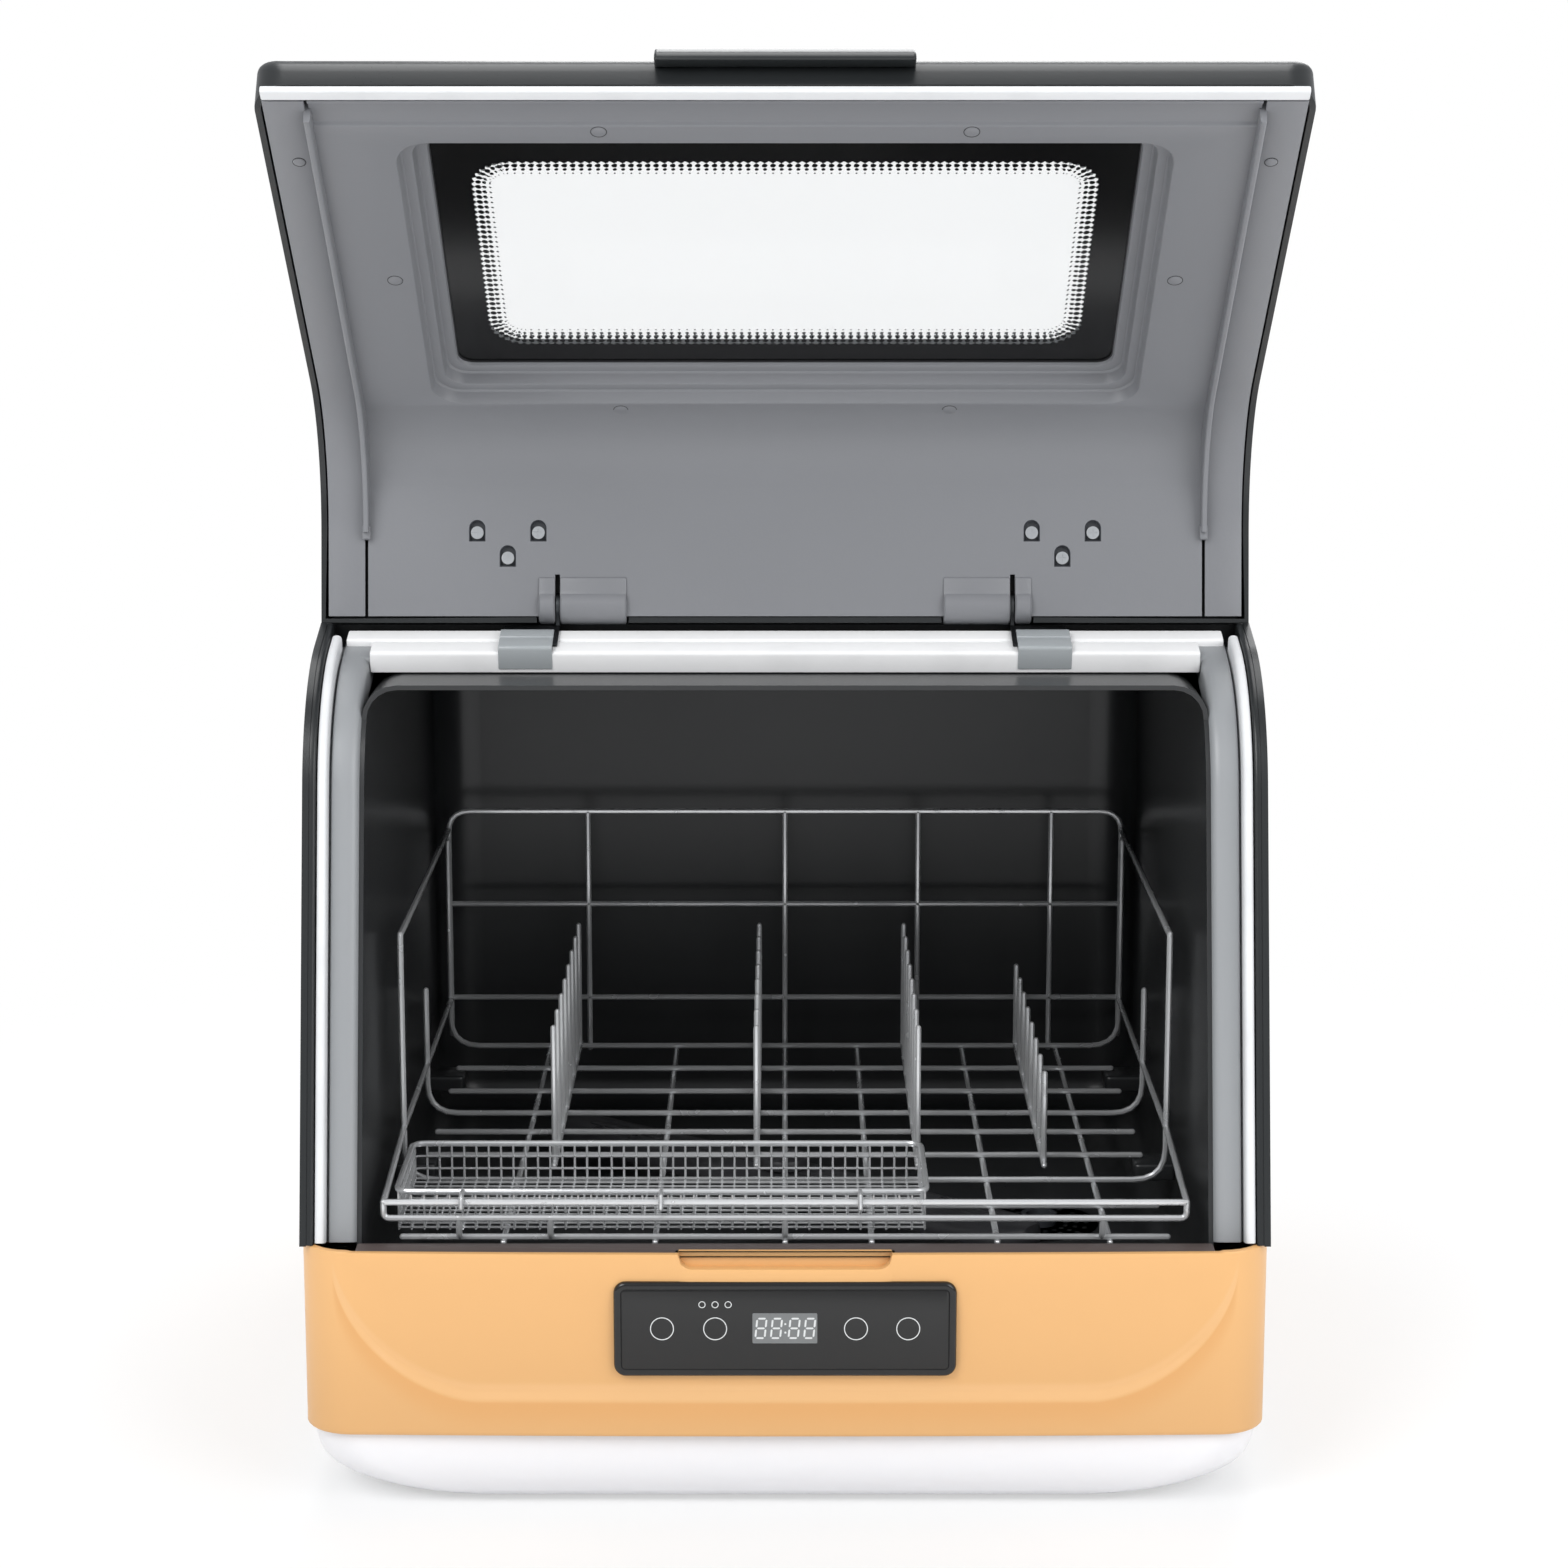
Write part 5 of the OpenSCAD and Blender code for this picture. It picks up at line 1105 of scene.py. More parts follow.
def spray_arm():
    """The arm's rows run across it, v from -1 to 1 over the half width w(t), at a height of
    2 + 7.6 sqrt(1 - v^4) above a flat underside, lower near the tips. All is turned by the arm's angle.
    Nozzles are small rings round dark bores, and the hub is a turned dome."""
    low, high, angle = 90.0, 100.0, math.radians(-38.7)
    c, s = math.cos(angle), math.sin(angle)

    def at_arm(points):
        x, y = points[..., 0], points[..., 1]
        return np.stack([x * c - y * s, SPRAY_Y + x * s + y * c, points[..., 2]], -1)

    skin = Skin(at_arm)
    t = np.concatenate([-np.cos(np.linspace(0, 0.9, 12)), np.linspace(-0.55, 0.55, 13),
                        np.cos(np.linspace(0.9, 0, 12))])
    t = np.clip(t, -0.9995, 0.9995)
    w = blade(45, t)[:, None]
    v = np.cos(np.linspace(0, math.pi, 15))
    dome = np.sqrt(np.clip(1 - v ** 4, 0, 1))
    upper = np.stack([np.broadcast_to(t[:, None] * 155, (len(t), 15)), w * v,
                      low + 2 + (high - low - 2.4) * dome * smooth(w / 9)], -1)
    lower = np.stack([np.broadcast_to(t[:, None] * 155, (len(t), 15)), w * v[::-1],
                      np.full((len(t), 15), low)], -1)
    skin.grid(np.concatenate([upper, lower], 1))
    ridge = ring(4.0, -132, 132, 3.9, steps=4)[:, ::-1]
    skin.grid(facing_z(*pillow(ridge, high - 2, high + 0.2, 0.9, 2)))
    skin.piece("spray_arm_blade", "spray_arm", "arm_dark", ["spray_arm"])
    rims, bores = Skin(at_arm), Skin(at_arm)
    for x in (-120, -95, -70, -45, 45, 70, 95, 120):
        y = math.copysign(7.5, x)
        z = high - 0.7
        rim = [(1.7, z - 1), (1.7, z + 0.8), (2.2, z + 1.0), (3.2, z + 0.7), (4.2, z - 0.4), (4.2, z - 1)]
        rims.grid(lathe(rim, 20, (x, y)), close=True)
        bores.grid(lathe([(0.2, z + 0.3), (1.75, z + 0.3), (1.75, z - 0.9), (0.2, z - 0.9)], 16, (x, y)))
    rims.piece("nozzle_rims", "spray_arm", "arm_dark")
    bores.piece("nozzle_bores", "spray_arm", "rubber_dark")
    hub = Skin()
    cap = [(6.2, 100.2), (12.6, 100.2), (13, 100.6), (13, 103.5), (12.2, 105.4), (9.5, 106.6), (4, 107),
           (0.3, 107)]
    hub.grid(lathe(cap, 36, (0, SPRAY_Y)))
    for i in range(12):
        turns = i * math.pi / 6 + np.array([-0.07, 0, 0.07, 0.03, -0.03])
        rib = np.array([0, SPRAY_Y]) + 13 * heading(turns) * np.array([1, 1, 1, 0.97, 0.97])[:, None]
        hub.grid(facing_z(np.array([100.8, 103.4]), np.stack([rib] * 2)))
    hub.piece("spray_hub_cap", "spray_arm", "arm_dark", ["spray_hub"])


def lid_shell():
    """The lid's skin: a tray whose rim is turned down round a quarter circle, 12 mm on the free edge and
    4 mm along the sides, blended round its 13 mm corners. Points follow station + d * normal, so the
    tray bends round the crown. The window opening is cut in the flat front, and the rear wall has
    notches for the hinge barrels. Solidify gives it a 2.8 mm wall."""
    edge, corner, side_r = bpy.context.scene.dishwasher_sizes.lid_edge / MM, 13.0, 4.0
    skin = Skin(opened)
    stations, normals = mouth(corner, LID_END)
    t = np.linspace(0, QUARTER, 9)
    arcs = np.linspace(0, QUARTER, 7)
    count = len(stations)

    def rim(d_low):
        rows = []
        for a in np.concatenate([[-1], arcs]):
            d_side = d_low if a < 0 else LID_T - side_r * (1 - math.sin(a))
            i_side = 0 if a < 0 else side_r * (1 - math.cos(a))
            left = three(-(HALF - i_side), (stations + d_side * normals)[::-1])
            r = side_r + (edge - side_r) * smooth(t / QUARTER)
            i = 0 * r if a < 0 else r * (1 - math.cos(a))
            d = LID_T - r * (1 - math.sin(a))
            if a < 0:
                d = d_low + (3.2 - d_low) * smooth(t / QUARTER)
            out = heading(2 * QUARTER + t)
            x, s = corner - HALF + (corner - i) * out[:, 0], corner + (corner - i) * out[:, 1]
            turn_l = three(x, front_at(s, d))
            turn_r = three(-x[::-1], front_at(s[::-1], d[::-1]))
            right = three(HALF - i_side, stations + d_side * normals)
            rows.append(np.concatenate([left[:-1], turn_l, turn_r, right[1:]]))
        return np.array(rows)

    grid = rim(0.2)
    skin.grid(grid, wrap=False, ends=False)
    inner = HALF - side_r
    top_s = FRONT_LEN - CROWN * math.tan((FRONT - ROOF) / 2)
    hole = ring(OPENING_X, OPENING_S - OPENING_H, OPENING_S + OPENING_H, 20)
    last = grid[-1]
    left_corner = last[count - 1:count + 8]
    for sign in (-1, 1):
        half_hole = hole[hole[:, 0] * sign > 0]
        angle = np.arctan2(half_hole[:, 1] - OPENING_S, half_hole[:, 0] * sign)
        half_hole = half_hole[np.argsort(angle)]
        ring_xy = np.concatenate([half_hole[::-1], [(0, OPENING_S - OPENING_H)]])
        outer_pts = left_corner if sign < 0 else left_corner * np.array([-1, 1, 1])
        flat_face = np.concatenate([
            three(np.array([0.0]), front_at([edge], LID_T)), outer_pts[::-1],
            three(np.array([sign * inner, 0.0]), front_at([top_s, top_s], LID_T)),
            three(np.array([0.0]), front_at([OPENING_S + OPENING_H], LID_T)),
            three(ring_xy[:, 0], front_at(ring_xy[:, 1], LID_T))])
        skin.flat(flat_face)
    over = stations[1:] + LID_T * normals[1:]
    skin.grid(np.stack([three(x, over) for x in (-inner, 0.0, inner)], 1), wrap=False, ends=False)
    end_l, end_r = grid[:, 0], grid[:, -1]
    low = []
    for x in (117.8, 74.2, -74.2, -117.8):
        pair = [(x, 0.2), (x, 16)] if x in (117.8, -74.2) else [(x, 16), (x, 0.2)]
        low += [np.append(px, roof_at([LID_END], pd)[0]) for px, pd in pair]
    skin.flat(np.concatenate([end_l, three(np.array([0.0]), roof_at([LID_END], LID_T)), end_r[::-1],
                              np.array(low)]))
    skin.piece("lid_shell_skin", "lid", "black_plastic", ["lid_shell"], wall=2.8,
               spot=LID_SPOT, bevel=0.5)


def arch(x, r):
    """Outline of a screw pocket: a flat foot towards the hinge and a half circle towards the window."""
    a = np.linspace(0, math.pi, 13)
    head = np.array([x, r - 2.2]) + 3.9 * np.stack([np.cos(a), -np.sin(a)], -1)
    return np.concatenate([[(x + 3.9, r + 4.2)], head, [(x - 3.9, r + 4.2)]])[::-1]


def lid_liner():
    """The liner's face is flat up to a fold of 40 mm radius and flat again to its end. A stepped well
    goes down to the glass as rounded rectangles of falling size joined by small fillets, a groove runs
    behind the seal, and arched pockets hold the hinge screws. Side strips and ribs follow the mouth
    line. Barrels are turned about the pivot on short blocks."""
    skin = Skin(opened)
    half, mid = 197.7, WELL_S
    reach = 40 * math.tan((FRONT - ROOF) / 2)
    flat_end = FRONT_LEN - reach
    start = 6.9
    groove = eased([(start, 0), (8.4, 0), (8.9, 1.6), (22, 1.6), (22.8, 0), (24.5, 0)], 0.4, 3, closed=False)
    yz = front_at(groove[:, 0], groove[:, 1])
    skin.grid(np.stack([three(x, yz) for x in (-half, 0.0, half)], 1), wrap=False, ends=False)
    steps = [(165.2, 97.2, 14.4, 0), (164.5, 96.5, 13.7, 0.25), (164, 96, 13, 1.2), (163.2, 95.2, 12.4, 5.6),
             (162.4, 94.4, 11.8, 6.4), (159.2, 91.2, 10.6, 6.5), (158.4, 90.4, 10.2, 6.8),
             (158, 90, 10, 7.8), (157.4, 89.4, 9.6, 12.0), (156.6, 88.6, 9.2, 12.9),
             (153.4, 85.4, 7.9, 13.0), (152.7, 84.7, 7.4, 13.3),
             (152.3, 84.3, 7.0, 14.2), (151.9, 83.9, 6.8, 15.3)]
    rings = [on_front(np.array([d]), ring(x, mid - s, mid + s, r)[None]) for x, s, r, d in steps]
    skin.grid(np.concatenate(rings), ends=False)
    first = steps[0]
    hole = ring(first[0], mid - first[1], mid + first[1], first[2])
    skin.plate_round_hole((-half, 24.5, half, flat_end), hole,
                          lambda p: three(p[:, 0], front_at(p[:, 1], 0.0)))
    stations, _ = mouth(flat_end - 1, 23.8, 40.0, 16)
    skin.grid(np.stack([three(x, stations[1:]) for x in (-half, 0.0, half)], 1), wrap=False, ends=False)
    slot_r = HINGE_RUN - 15
    pockets = [(-146, 46), (-131.5, 58), (-117, 46), (117, 46), (131.5, 58), (146, 46)]
    bounds = [(-half, -138.75), (-138.75, -124.25), (-124.25, 0.0), (0.0, 124.25), (124.25, 138.75),
              (138.75, half)]
    pits = Skin(opened)
    for (x0, x1), (x, r) in zip(bounds, pockets):
        outline = arch(x, r)
        skin.plate_round_hole((x0, reach, x1, slot_r), outline,
                              lambda p: three(p[:, 0], roof_at(p[:, 1], 0.0)))
        levels = np.array([0, 0.2, 0.8, 3.0])
        shapes = np.stack([shrunk(outline, i) for i in (0, 0.25, 0.5, 0.7)])
        pit = on_roof(levels, shapes)
        pits.grid(pit, ends=False).flat(pit[-1])
    # Painted shade: the pockets' pits take the dark finish to stand for the shade inside the arched pockets.
    pits.piece("hinge_screw_pockets_painted_shade", "lid", "part_dark", wall=0.8, spot=LID_SPOT, sign=-1)
    for x0, x1 in ((-half, -109.05), (-106.75, 106.75), (109.05, half)):
        skin.flat(three(np.array([x0, x1, x1, x0]),
                        roof_at(np.array([slot_r, slot_r, LINER_END, LINER_END]), 0.0)))
    skin.piece("lid_liner_face", "lid", "liner_grey", ["lid_liner"], wall=1.6, spot=LID_SPOT, sign=-1)
    strips = Skin(opened)
    for side in (1, -1):
        strip = np.array([(199.2, 0.1), (216.6, 0.1), (216.6, 2.4), (199.2, 2.4)]) * (side, 1)
        strips.grid(along_mouth(eased(strip, [0.2, 0.8, 0.3, 0.2], 2), start + 0.2, LINER_END))
        rib = np.array([(196.7, 9), (196.9, -6), (199.5, -6), (199.7, 9)]) * (side, 1)
        strips.grid(along_mouth(eased(rib, [0.2, 1.0, 1.0, 0.2]), 13, 46))
        toe = eased([(42.5, 2), (42.5, -3.4), (49.5, -3.4), (49.5, 2)], [0.3, 1.5, 1.5, 0.3])
        strips.grid(roof_bar(toe, *sorted((side * 196.3, side * 200.1)), 0.5, 2))
    strips.piece("lid_side_strips", "lid", "liner_grey")
    turns = np.linspace(0, 2 * math.pi, 33)[:-1]
    plugs, lines = Skin(opened), Skin(opened)
    for s, x, r in ((26.7, 78, 3.2), (mid, 173, 3.2), (232.8, 77, 3.2), (47, 205.5, 2.6), (231, 205.5, 2.6)):
        for side in (1, -1):
            middle = np.array([side * x, s])
            disc = np.stack([middle + q * heading(turns) for q in (r, r - 0.15, r - 0.5)])
            plugs.grid(on_front(np.array([0.6, -0.12, -0.28]), disc))
            circle = np.stack([middle + q * heading(turns) for q in (r, r + 0.32, r + 0.32, r)])
            lines.grid(on_front(np.array([0.5, 0.5, -0.07, -0.07]), circle), close=True)
    plugs.piece("lid_plug_caps", "lid", "liner_grey", ["lid_plugs"])
    lines.piece("lid_plug_gaps", "lid", "rubber_dark")
    barrels = Skin(opened)
    for side in (1, -1):
        for a, b in ((75.2, 106.7), (109.1, 116.8)):
            x0, x1 = sorted((side * a, side * b))
            profile = [(3.05, 0), (7.7, 0), (8.5, 0.8), (8.5, x1 - x0 - 0.8), (7.7, x1 - x0),
                       (3.05, x1 - x0)]
            barrels.grid(along_axis(profile, "x", (x0, PIVOT[0], PIVOT[1]), 40), close=True)
            block = [(HINGE_RUN - 13.8, 0.1), (HINGE_RUN - 13.2, -0.9), (HINGE_RUN - 6.5, -1.2),
                     (HINGE_RUN - 3, -2.2), (HINGE_RUN, 2), (HINGE_RUN, 7.5), (HINGE_RUN - 13.8, 7.5)]
            block = eased(block, [0.4, 0.8, 1, 1, 1, 1, 1])
            barrels.grid(roof_bar(block, x0, x1, 0.6, 2))
    barrels.piece("hinge_barrels", "lid", "liner_grey")


def lid_window():
    """The glass is rings of the rounded opening moved out to the plate's edge and in past the print,
    with a map of the way round and the depth. The seal strip is a bead, the handle a swept tab."""
    skin = Skin(opened)
    clear = ring(OPENING_X - 5, OPENING_S - OPENING_H + 5, OPENING_S + OPENING_H - 5, 17, steps=10)
    plate = ring(WELL_X, WELL_S - WELL_H, WELL_S + WELL_H, 12, steps=10)
    depths = [0.0, 1.2, 2.4, 4, 6, 8, 10]
    inner = [shrunk(clear, d) for d in depths]
    face, back = 15.4, 17.9
    levels = np.array([back, face] + [face] * len(depths))
    rings = np.stack([plate, plate] + inner)
    skin.grid(on_front(levels, rings), ends=False)
    skin.flat(on_front(levels[-1:], rings[-1:])[0])
    rings_back = np.stack([plate] + inner)
    skin.grid(on_front(np.full(len(rings_back), back), rings_back), ends=False)
    skin.flat(on_front(np.array([back]), rings_back[-1:])[0])
    glass = skin.piece("window_pane", "lid", "glass_clear", ["window_glass"])
    border_map(glass, clear)
    frame_ring = ring(WELL_X, WELL_S - WELL_H, WELL_S + WELL_H, 12)
    inside = ring(151.7, WELL_S - 83.7, WELL_S + 83.7, 7)
    levels = np.array([14.85, 14.5, 15.35, 15.35])
    rings = np.stack([shrunk(inside, -1.5), inside, inside, frame_ring])
    gasket = Skin(opened).grid(on_front(levels, rings), close=True)
    gasket.piece("window_gasket_bead", "lid", "rubber_dark", ["window_gasket"])
    seal = eased([(0.5, 3.0), (0.4, 0.2), (6.5, 0.2), (6.5, 3.0)], [0.4, 1.2, 0.7, 0.3])
    Skin(opened).grid(front_bar(seal, -HALF + 3.4, HALF - 3.4, 0.6, 2)).piece(
        "lid_seal_bead", "lid", "seal_white", ["lid_front_seal"])
    tab = [(18, LID_T + 0.1), (12, LID_T + 0.1), (6.5, LID_T - 1.2), (2.2, LID_T - 5.2),
           (-0.2, LID_T - 10.2), (-8.4, 9.6), (-8.4, 13.2), (-2.5, LID_T - 1.5), (3, LID_T + 1.2),
           (9, LID_T + 1.6), (18, LID_T + 1.5)]
    tab = eased(tab, [0.2, 2, 2, 2, 1.5, 1.2, 2, 3, 3, 2, 0.5], 3)
    Skin(opened).grid(front_bar(tab, -54, 54, 1.2, 4)).piece(
        "lid_handle_tab", "lid", "black_plastic", ["lid_handle"])


def border_map(glass, outline):
    """Writes the glass's map: the way round its outline in dots one pitch apart, and the distance in
    from the outline, both from the nearest point of the outline's sides."""
    points = np.concatenate([outline, outline[:1]])
    lengths = np.linalg.norm(np.diff(points, axis=0), axis=1)
    total = lengths.sum()
    dots = round(total / DOT_PITCH)
    before = np.concatenate([[0], np.cumsum(lengths)])[:-1]
    mesh = glass.data
    co = np.zeros(len(mesh.vertices) * 3)
    mesh.vertices.foreach_get("co", co)
    co = co.reshape(-1, 3) / MM
    closed = swung(co + np.array([0, SHIFT, 0]), OPEN)
    s = (closed[:, 1] - SILL[0]) * math.cos(FRONT) + (closed[:, 2] - SILL[1]) * math.sin(FRONT)
    flat = np.stack([co[:, 0], s], -1)
    start, side = points[:-1], np.diff(points, axis=0)
    share = np.einsum("vk,ek->ve", flat, side) - np.einsum("ek,ek->e", start, side)
    share = np.clip(share / (lengths ** 2), 0, 1)
    foot = start[None] + share[..., None] * side[None]
    gap = np.linalg.norm(flat[:, None] - foot, axis=-1)
    best = gap.argmin(1)
    pick = np.arange(len(flat))
    way = before[best] + share[pick, best] * lengths[best]
    normal = np.stack([side[:, 1], -side[:, 0]], -1) / lengths[:, None]
    sign = -np.sign(np.einsum("vk,vk->v", flat - foot[pick, best], normal[best]))
    depth = gap[pick, best] * np.where(sign == 0, 1, sign)
    loops = np.zeros(len(mesh.loops), int)
    mesh.loops.foreach_get("vertex_index", loops)
    rounds = way[loops] / total * dots
    size = np.zeros(len(mesh.polygons), int)
    mesh.polygons.foreach_get("loop_total", size)
    owner = np.repeat(np.arange(len(size)), size)
    highest = np.full(len(size), -1e9)
    np.maximum.at(highest, owner, rounds)
    rounds = np.where(highest[owner] - rounds > dots / 2, rounds + dots, rounds)
    layer = mesh.uv_layers.new(name="Border")
    layer.data.foreach_set("uv", np.stack([rounds, depth[loops]], -1).ravel())


def hinges():
    """Arm: an eye round the pin, a web down to the fixed foot, all one flat outline 1.9 mm thick.
    Clip: an angle of thin sheet with eased corners that wraps the foot and the rear bar."""
    arms, clips = Skin(), Skin()
    a = np.linspace(-0.4, math.pi + 0.4, 20)
    for side in (1, -1):
        eye = np.array([HINGE_RUN, HINGE_RISE]) + 6.6 * heading(a)
        web = [(HINGE_RUN - 7, -1.9), (RAIL_0 + 5, -1.9), (RAIL_0 + 5, -3.4), (HINGE_RUN + 6, -3.4)]
        outline = np.concatenate([eye, web])
        x0, x1 = sorted((side * 106.95, side * 108.85))
        arms.grid(roof_bar(outline, x0, x1, 0.25, 1))
        foot = eased([(RAIL_0 + 5, -3.4), (RAIL_0 + 5, -1.9), (RAIL_1, -1.9), (RAIL_1, -3.4)], 0.3, 2)
        x0, x1 = sorted((side * 107, side * 133.2))
        arms.grid(roof_bar(foot, x0, x1, 0.2, 1))
        clip = [(RAIL_0 - 1.8, -12), (RAIL_0 - 1.8, -0.5), (RAIL_0 + 8.2, -0.5), (RAIL_0 + 8.6, -1.0),
                (RAIL_0 + 10.4, -1.0), (RAIL_0 + 10.8, -0.5), (RAIL_0 + 19, -0.5), (RAIL_0 + 19, -1.7),
                (RAIL_0 - 0.4, -1.7), (RAIL_0 - 0.4, -12)]
        clip = eased(clip, [0.4, 1.6, 0.2, 0.2, 0.2, 0.2, 0.6, 0.3, 0.3, 0.4], 3)
        x0, x1 = sorted((side * 109.1, side * 134.3))
        clips.grid(roof_bar(clip, x0, x1, 0.35, 2))
    arms.piece("hinge_arm_plates", "base", "steel_dark", ["hinge_arms"])
    clips.piece("hinge_clip_angles", "base", "clip_grey", ["hinge_clips"])
    coil = Skin()
    turns, n = 9, 12
    for side in (1, -1):
        x0, x1 = (80.9, 101.9) if side > 0 else (-101.9, -80.9)
        u = np.linspace(0, turns * 2 * math.pi, turns * 18 + 1)
        v = np.arange(n // 2) * 4 * math.pi / n
        radius = 4.9 + 0.9 * np.cos(v)[None, :]
        x = x0 + (x1 - x0) * (u / u[-1])[:, None] + 0.9 * np.sin(v)[None, :]
        coil.grid(np.stack([x, PIVOT[0] + radius * np.cos(u)[:, None],
                            PIVOT[1] + radius * np.sin(u)[:, None]], -1))
    coil.piece("hinge_spring_coils", "base", "steel", ["hinge_springs"])


WIRE_Z = 117.0
WELD = 2.55
SIDE_X = 184.5
ARCH_Y = (119, 234, 367)


def bent_wire(skin, points, reach, radius=None, tips=(True, True), sides=8):
    """A wire through the points with eased bends and round tips."""
    radius = bpy.context.scene.dishwasher_sizes.wire / MM / 2 if radius is None else radius
    line = eased(points, reach, 5, closed=False)
    path, radii = round_tipped(line, radius, tips)
    skin.grid(tube(path, radii, sides))


def dish_rack():
    """Wires: each is a circle carried along a line whose bends are parabola arcs. Three wires cross under
    the floor and turn up at the sides, the middle one less high, and rows of tines stand on rails that
    run from front to back."""
    bend = bpy.context.scene.dishwasher_sizes.wire_bend / MM
    back, front, low = 372.0, 31.0, WIRE_Z + WELD
    floor = Skin()
    for x in (-130, -60, 0, 40, 98, 150):
        bent_wire(floor, [(x, front, WIRE_Z), (x, back, WIRE_Z)], 0)
    for y in (front, 78, 160, 200, 275, 320):
        bent_wire(floor, [(-SIDE_X + 8, y, low), (SIDE_X - 8, y, low)], 0)
    floor.piece("rack_floor_wires", "rack", "wire_steel", ["rack_floor"])
    sides = Skin()
    tops = (242.0, 185.0, 235.0)
    for y, top in zip(ARCH_Y, tops):
        arch_line = [(-SIDE_X, y, top), (-SIDE_X, y, low), (SIDE_X, y, low), (SIDE_X, y, top)]
        bent_wire(sides, arch_line, bend * 1.3)
    for side in (-1, 1):
        x = side * SIDE_X
        bent_wire(sides, [(x, 27.5, 137.7), (x, ARCH_Y[0], 146), (x, 369, 146)], 2)
        bent_wire(sides, [(x, ARCH_Y[0], 241.5), (x, 368.5, 241)], 2)
    sides.piece("rack_side_wires", "rack", "wire_steel", ["rack_sides"])
    rear = Skin()
    for z in (146, 199):
        bent_wire(rear, [(-SIDE_X + 1, back, z), (SIDE_X - 1, back, z)], 0)
    rim = [(-SIDE_X, back, 125), (-SIDE_X, back, 251), (SIDE_X, back, 251), (SIDE_X, back, 125)]
    bent_wire(rear, rim, bend)
    for x in (-108, 0, 73, 146):
        bent_wire(rear, [(x, back, WIRE_Z), (x, back, 251)], 0)
    rear.piece("rack_rear_wires", "rack", "wire_steel", ["rack_rear"])
    nose = Skin()
    high, under = 137.7, 130.1
    bent_wire(nose, [(-SIDE_X, 26, high), (SIDE_X, 26, high)], 0)
    bent_wire(nose, [(-SIDE_X, 26, high), (-SIDE_X, 26, under), (SIDE_X, 26, under), (SIDE_X, 26, high)], 3)
    for x in (-150, -108, 0, 146):
        bent_wire(nose, [(x, 26, under), (x, 28, 121), (x, 33, low)], 4)
    nose.piece("rack_front_rails", "rack", "wire_steel", ["rack_front"])
    tines = Skin()
    pitch = (back - 14 - 140) / 7
    for i, x in enumerate((-113, -14, 65, 127)):
        z, top = WIRE_Z + 2 * WELD, WIRE_Z + (50 if i == 3 else 73)
        bent_wire(tines, [(x, 134, z), (x, back - 6, z)], 0)
        for k in range(8):
            y = 140 + k * pitch
            bent_wire(tines, [(x, y, z), (x, y, top)], 0, tips=(False, True))
    tines.piece("rack_tine_rows", "rack", "wire_steel", ["rack_tines"])


def cutlery_basket():
    """A woven tray: straight wires in both directions every pitch, the two layers one wire apart, the same
    mesh up its four walls, a thick rim round the top and three hooks over the front rail."""
    pitch, r = bpy.context.scene.dishwasher_sizes.mesh_pitch / MM, 0.55
    x0, x1, y0, y1 = -178.6, 64.6, 35.4, 110.4
    low, top = 121.9, 140.2
    xs = np.linspace(x0, x1, round((x1 - x0) / pitch) + 1)
    ys = np.linspace(y0, y1, round((y1 - y0) / pitch) + 1)
    zs = np.linspace(low, top, 4)
    floor, walls, rim = Skin(), Skin(), Skin()
    for x in xs:
        floor.grid(tube([(x, y0, low), (x, y1, low)], r, 6))
    for y in ys:
        floor.grid(tube([(x0, y, low + 2 * r * 0.8), (x1, y, low + 2 * r * 0.8)], r, 6))
    floor.piece("basket_floor_mesh", "basket", "wire_steel", ["basket_floor"])
    for y in (y0, y1):
        for x in xs:
            walls.grid(tube([(x, y, low), (x, y, top)], r, 6))
    for x in (x0, x1):
        for y in ys[1:-1]:
            walls.grid(tube([(x, y, low), (x, y, top)], r, 6))
    for z in zs[1:-1]:
        loop = eased([(x0, y0, z), (x1, y0, z), (x1, y1, z), (x0, y1, z)], 3, 3)
        walls.grid(tube(loop, r, 6, closed=True), close=True)
    walls.piece("basket_wall_mesh", "basket", "wire_steel", ["basket_walls"])
    corners = [(x0 - 0.8, y0 - 0.8, top), (x1 + 0.8, y0 - 0.8, top), (x1 + 0.8, y1 + 0.8, top),
               (x0 - 0.8, y1 + 0.8, top)]
    rim.grid(tube(eased(corners, 7, 5), 1.5, 10, closed=True), close=True)
    for x in (x0 + 30, (x0 + x1) / 2, x1 - 30):
        bent_wire(rim, [(x, y0 - 0.6, top + 0.2), (x, 29.5, 141.2), (x, 23.4, 141.0), (x, 22.8, 135.5)],
                  2.5, 1.2)
    rim.piece("basket_rim_wire", "basket", "wire_steel", ["basket_rim"])


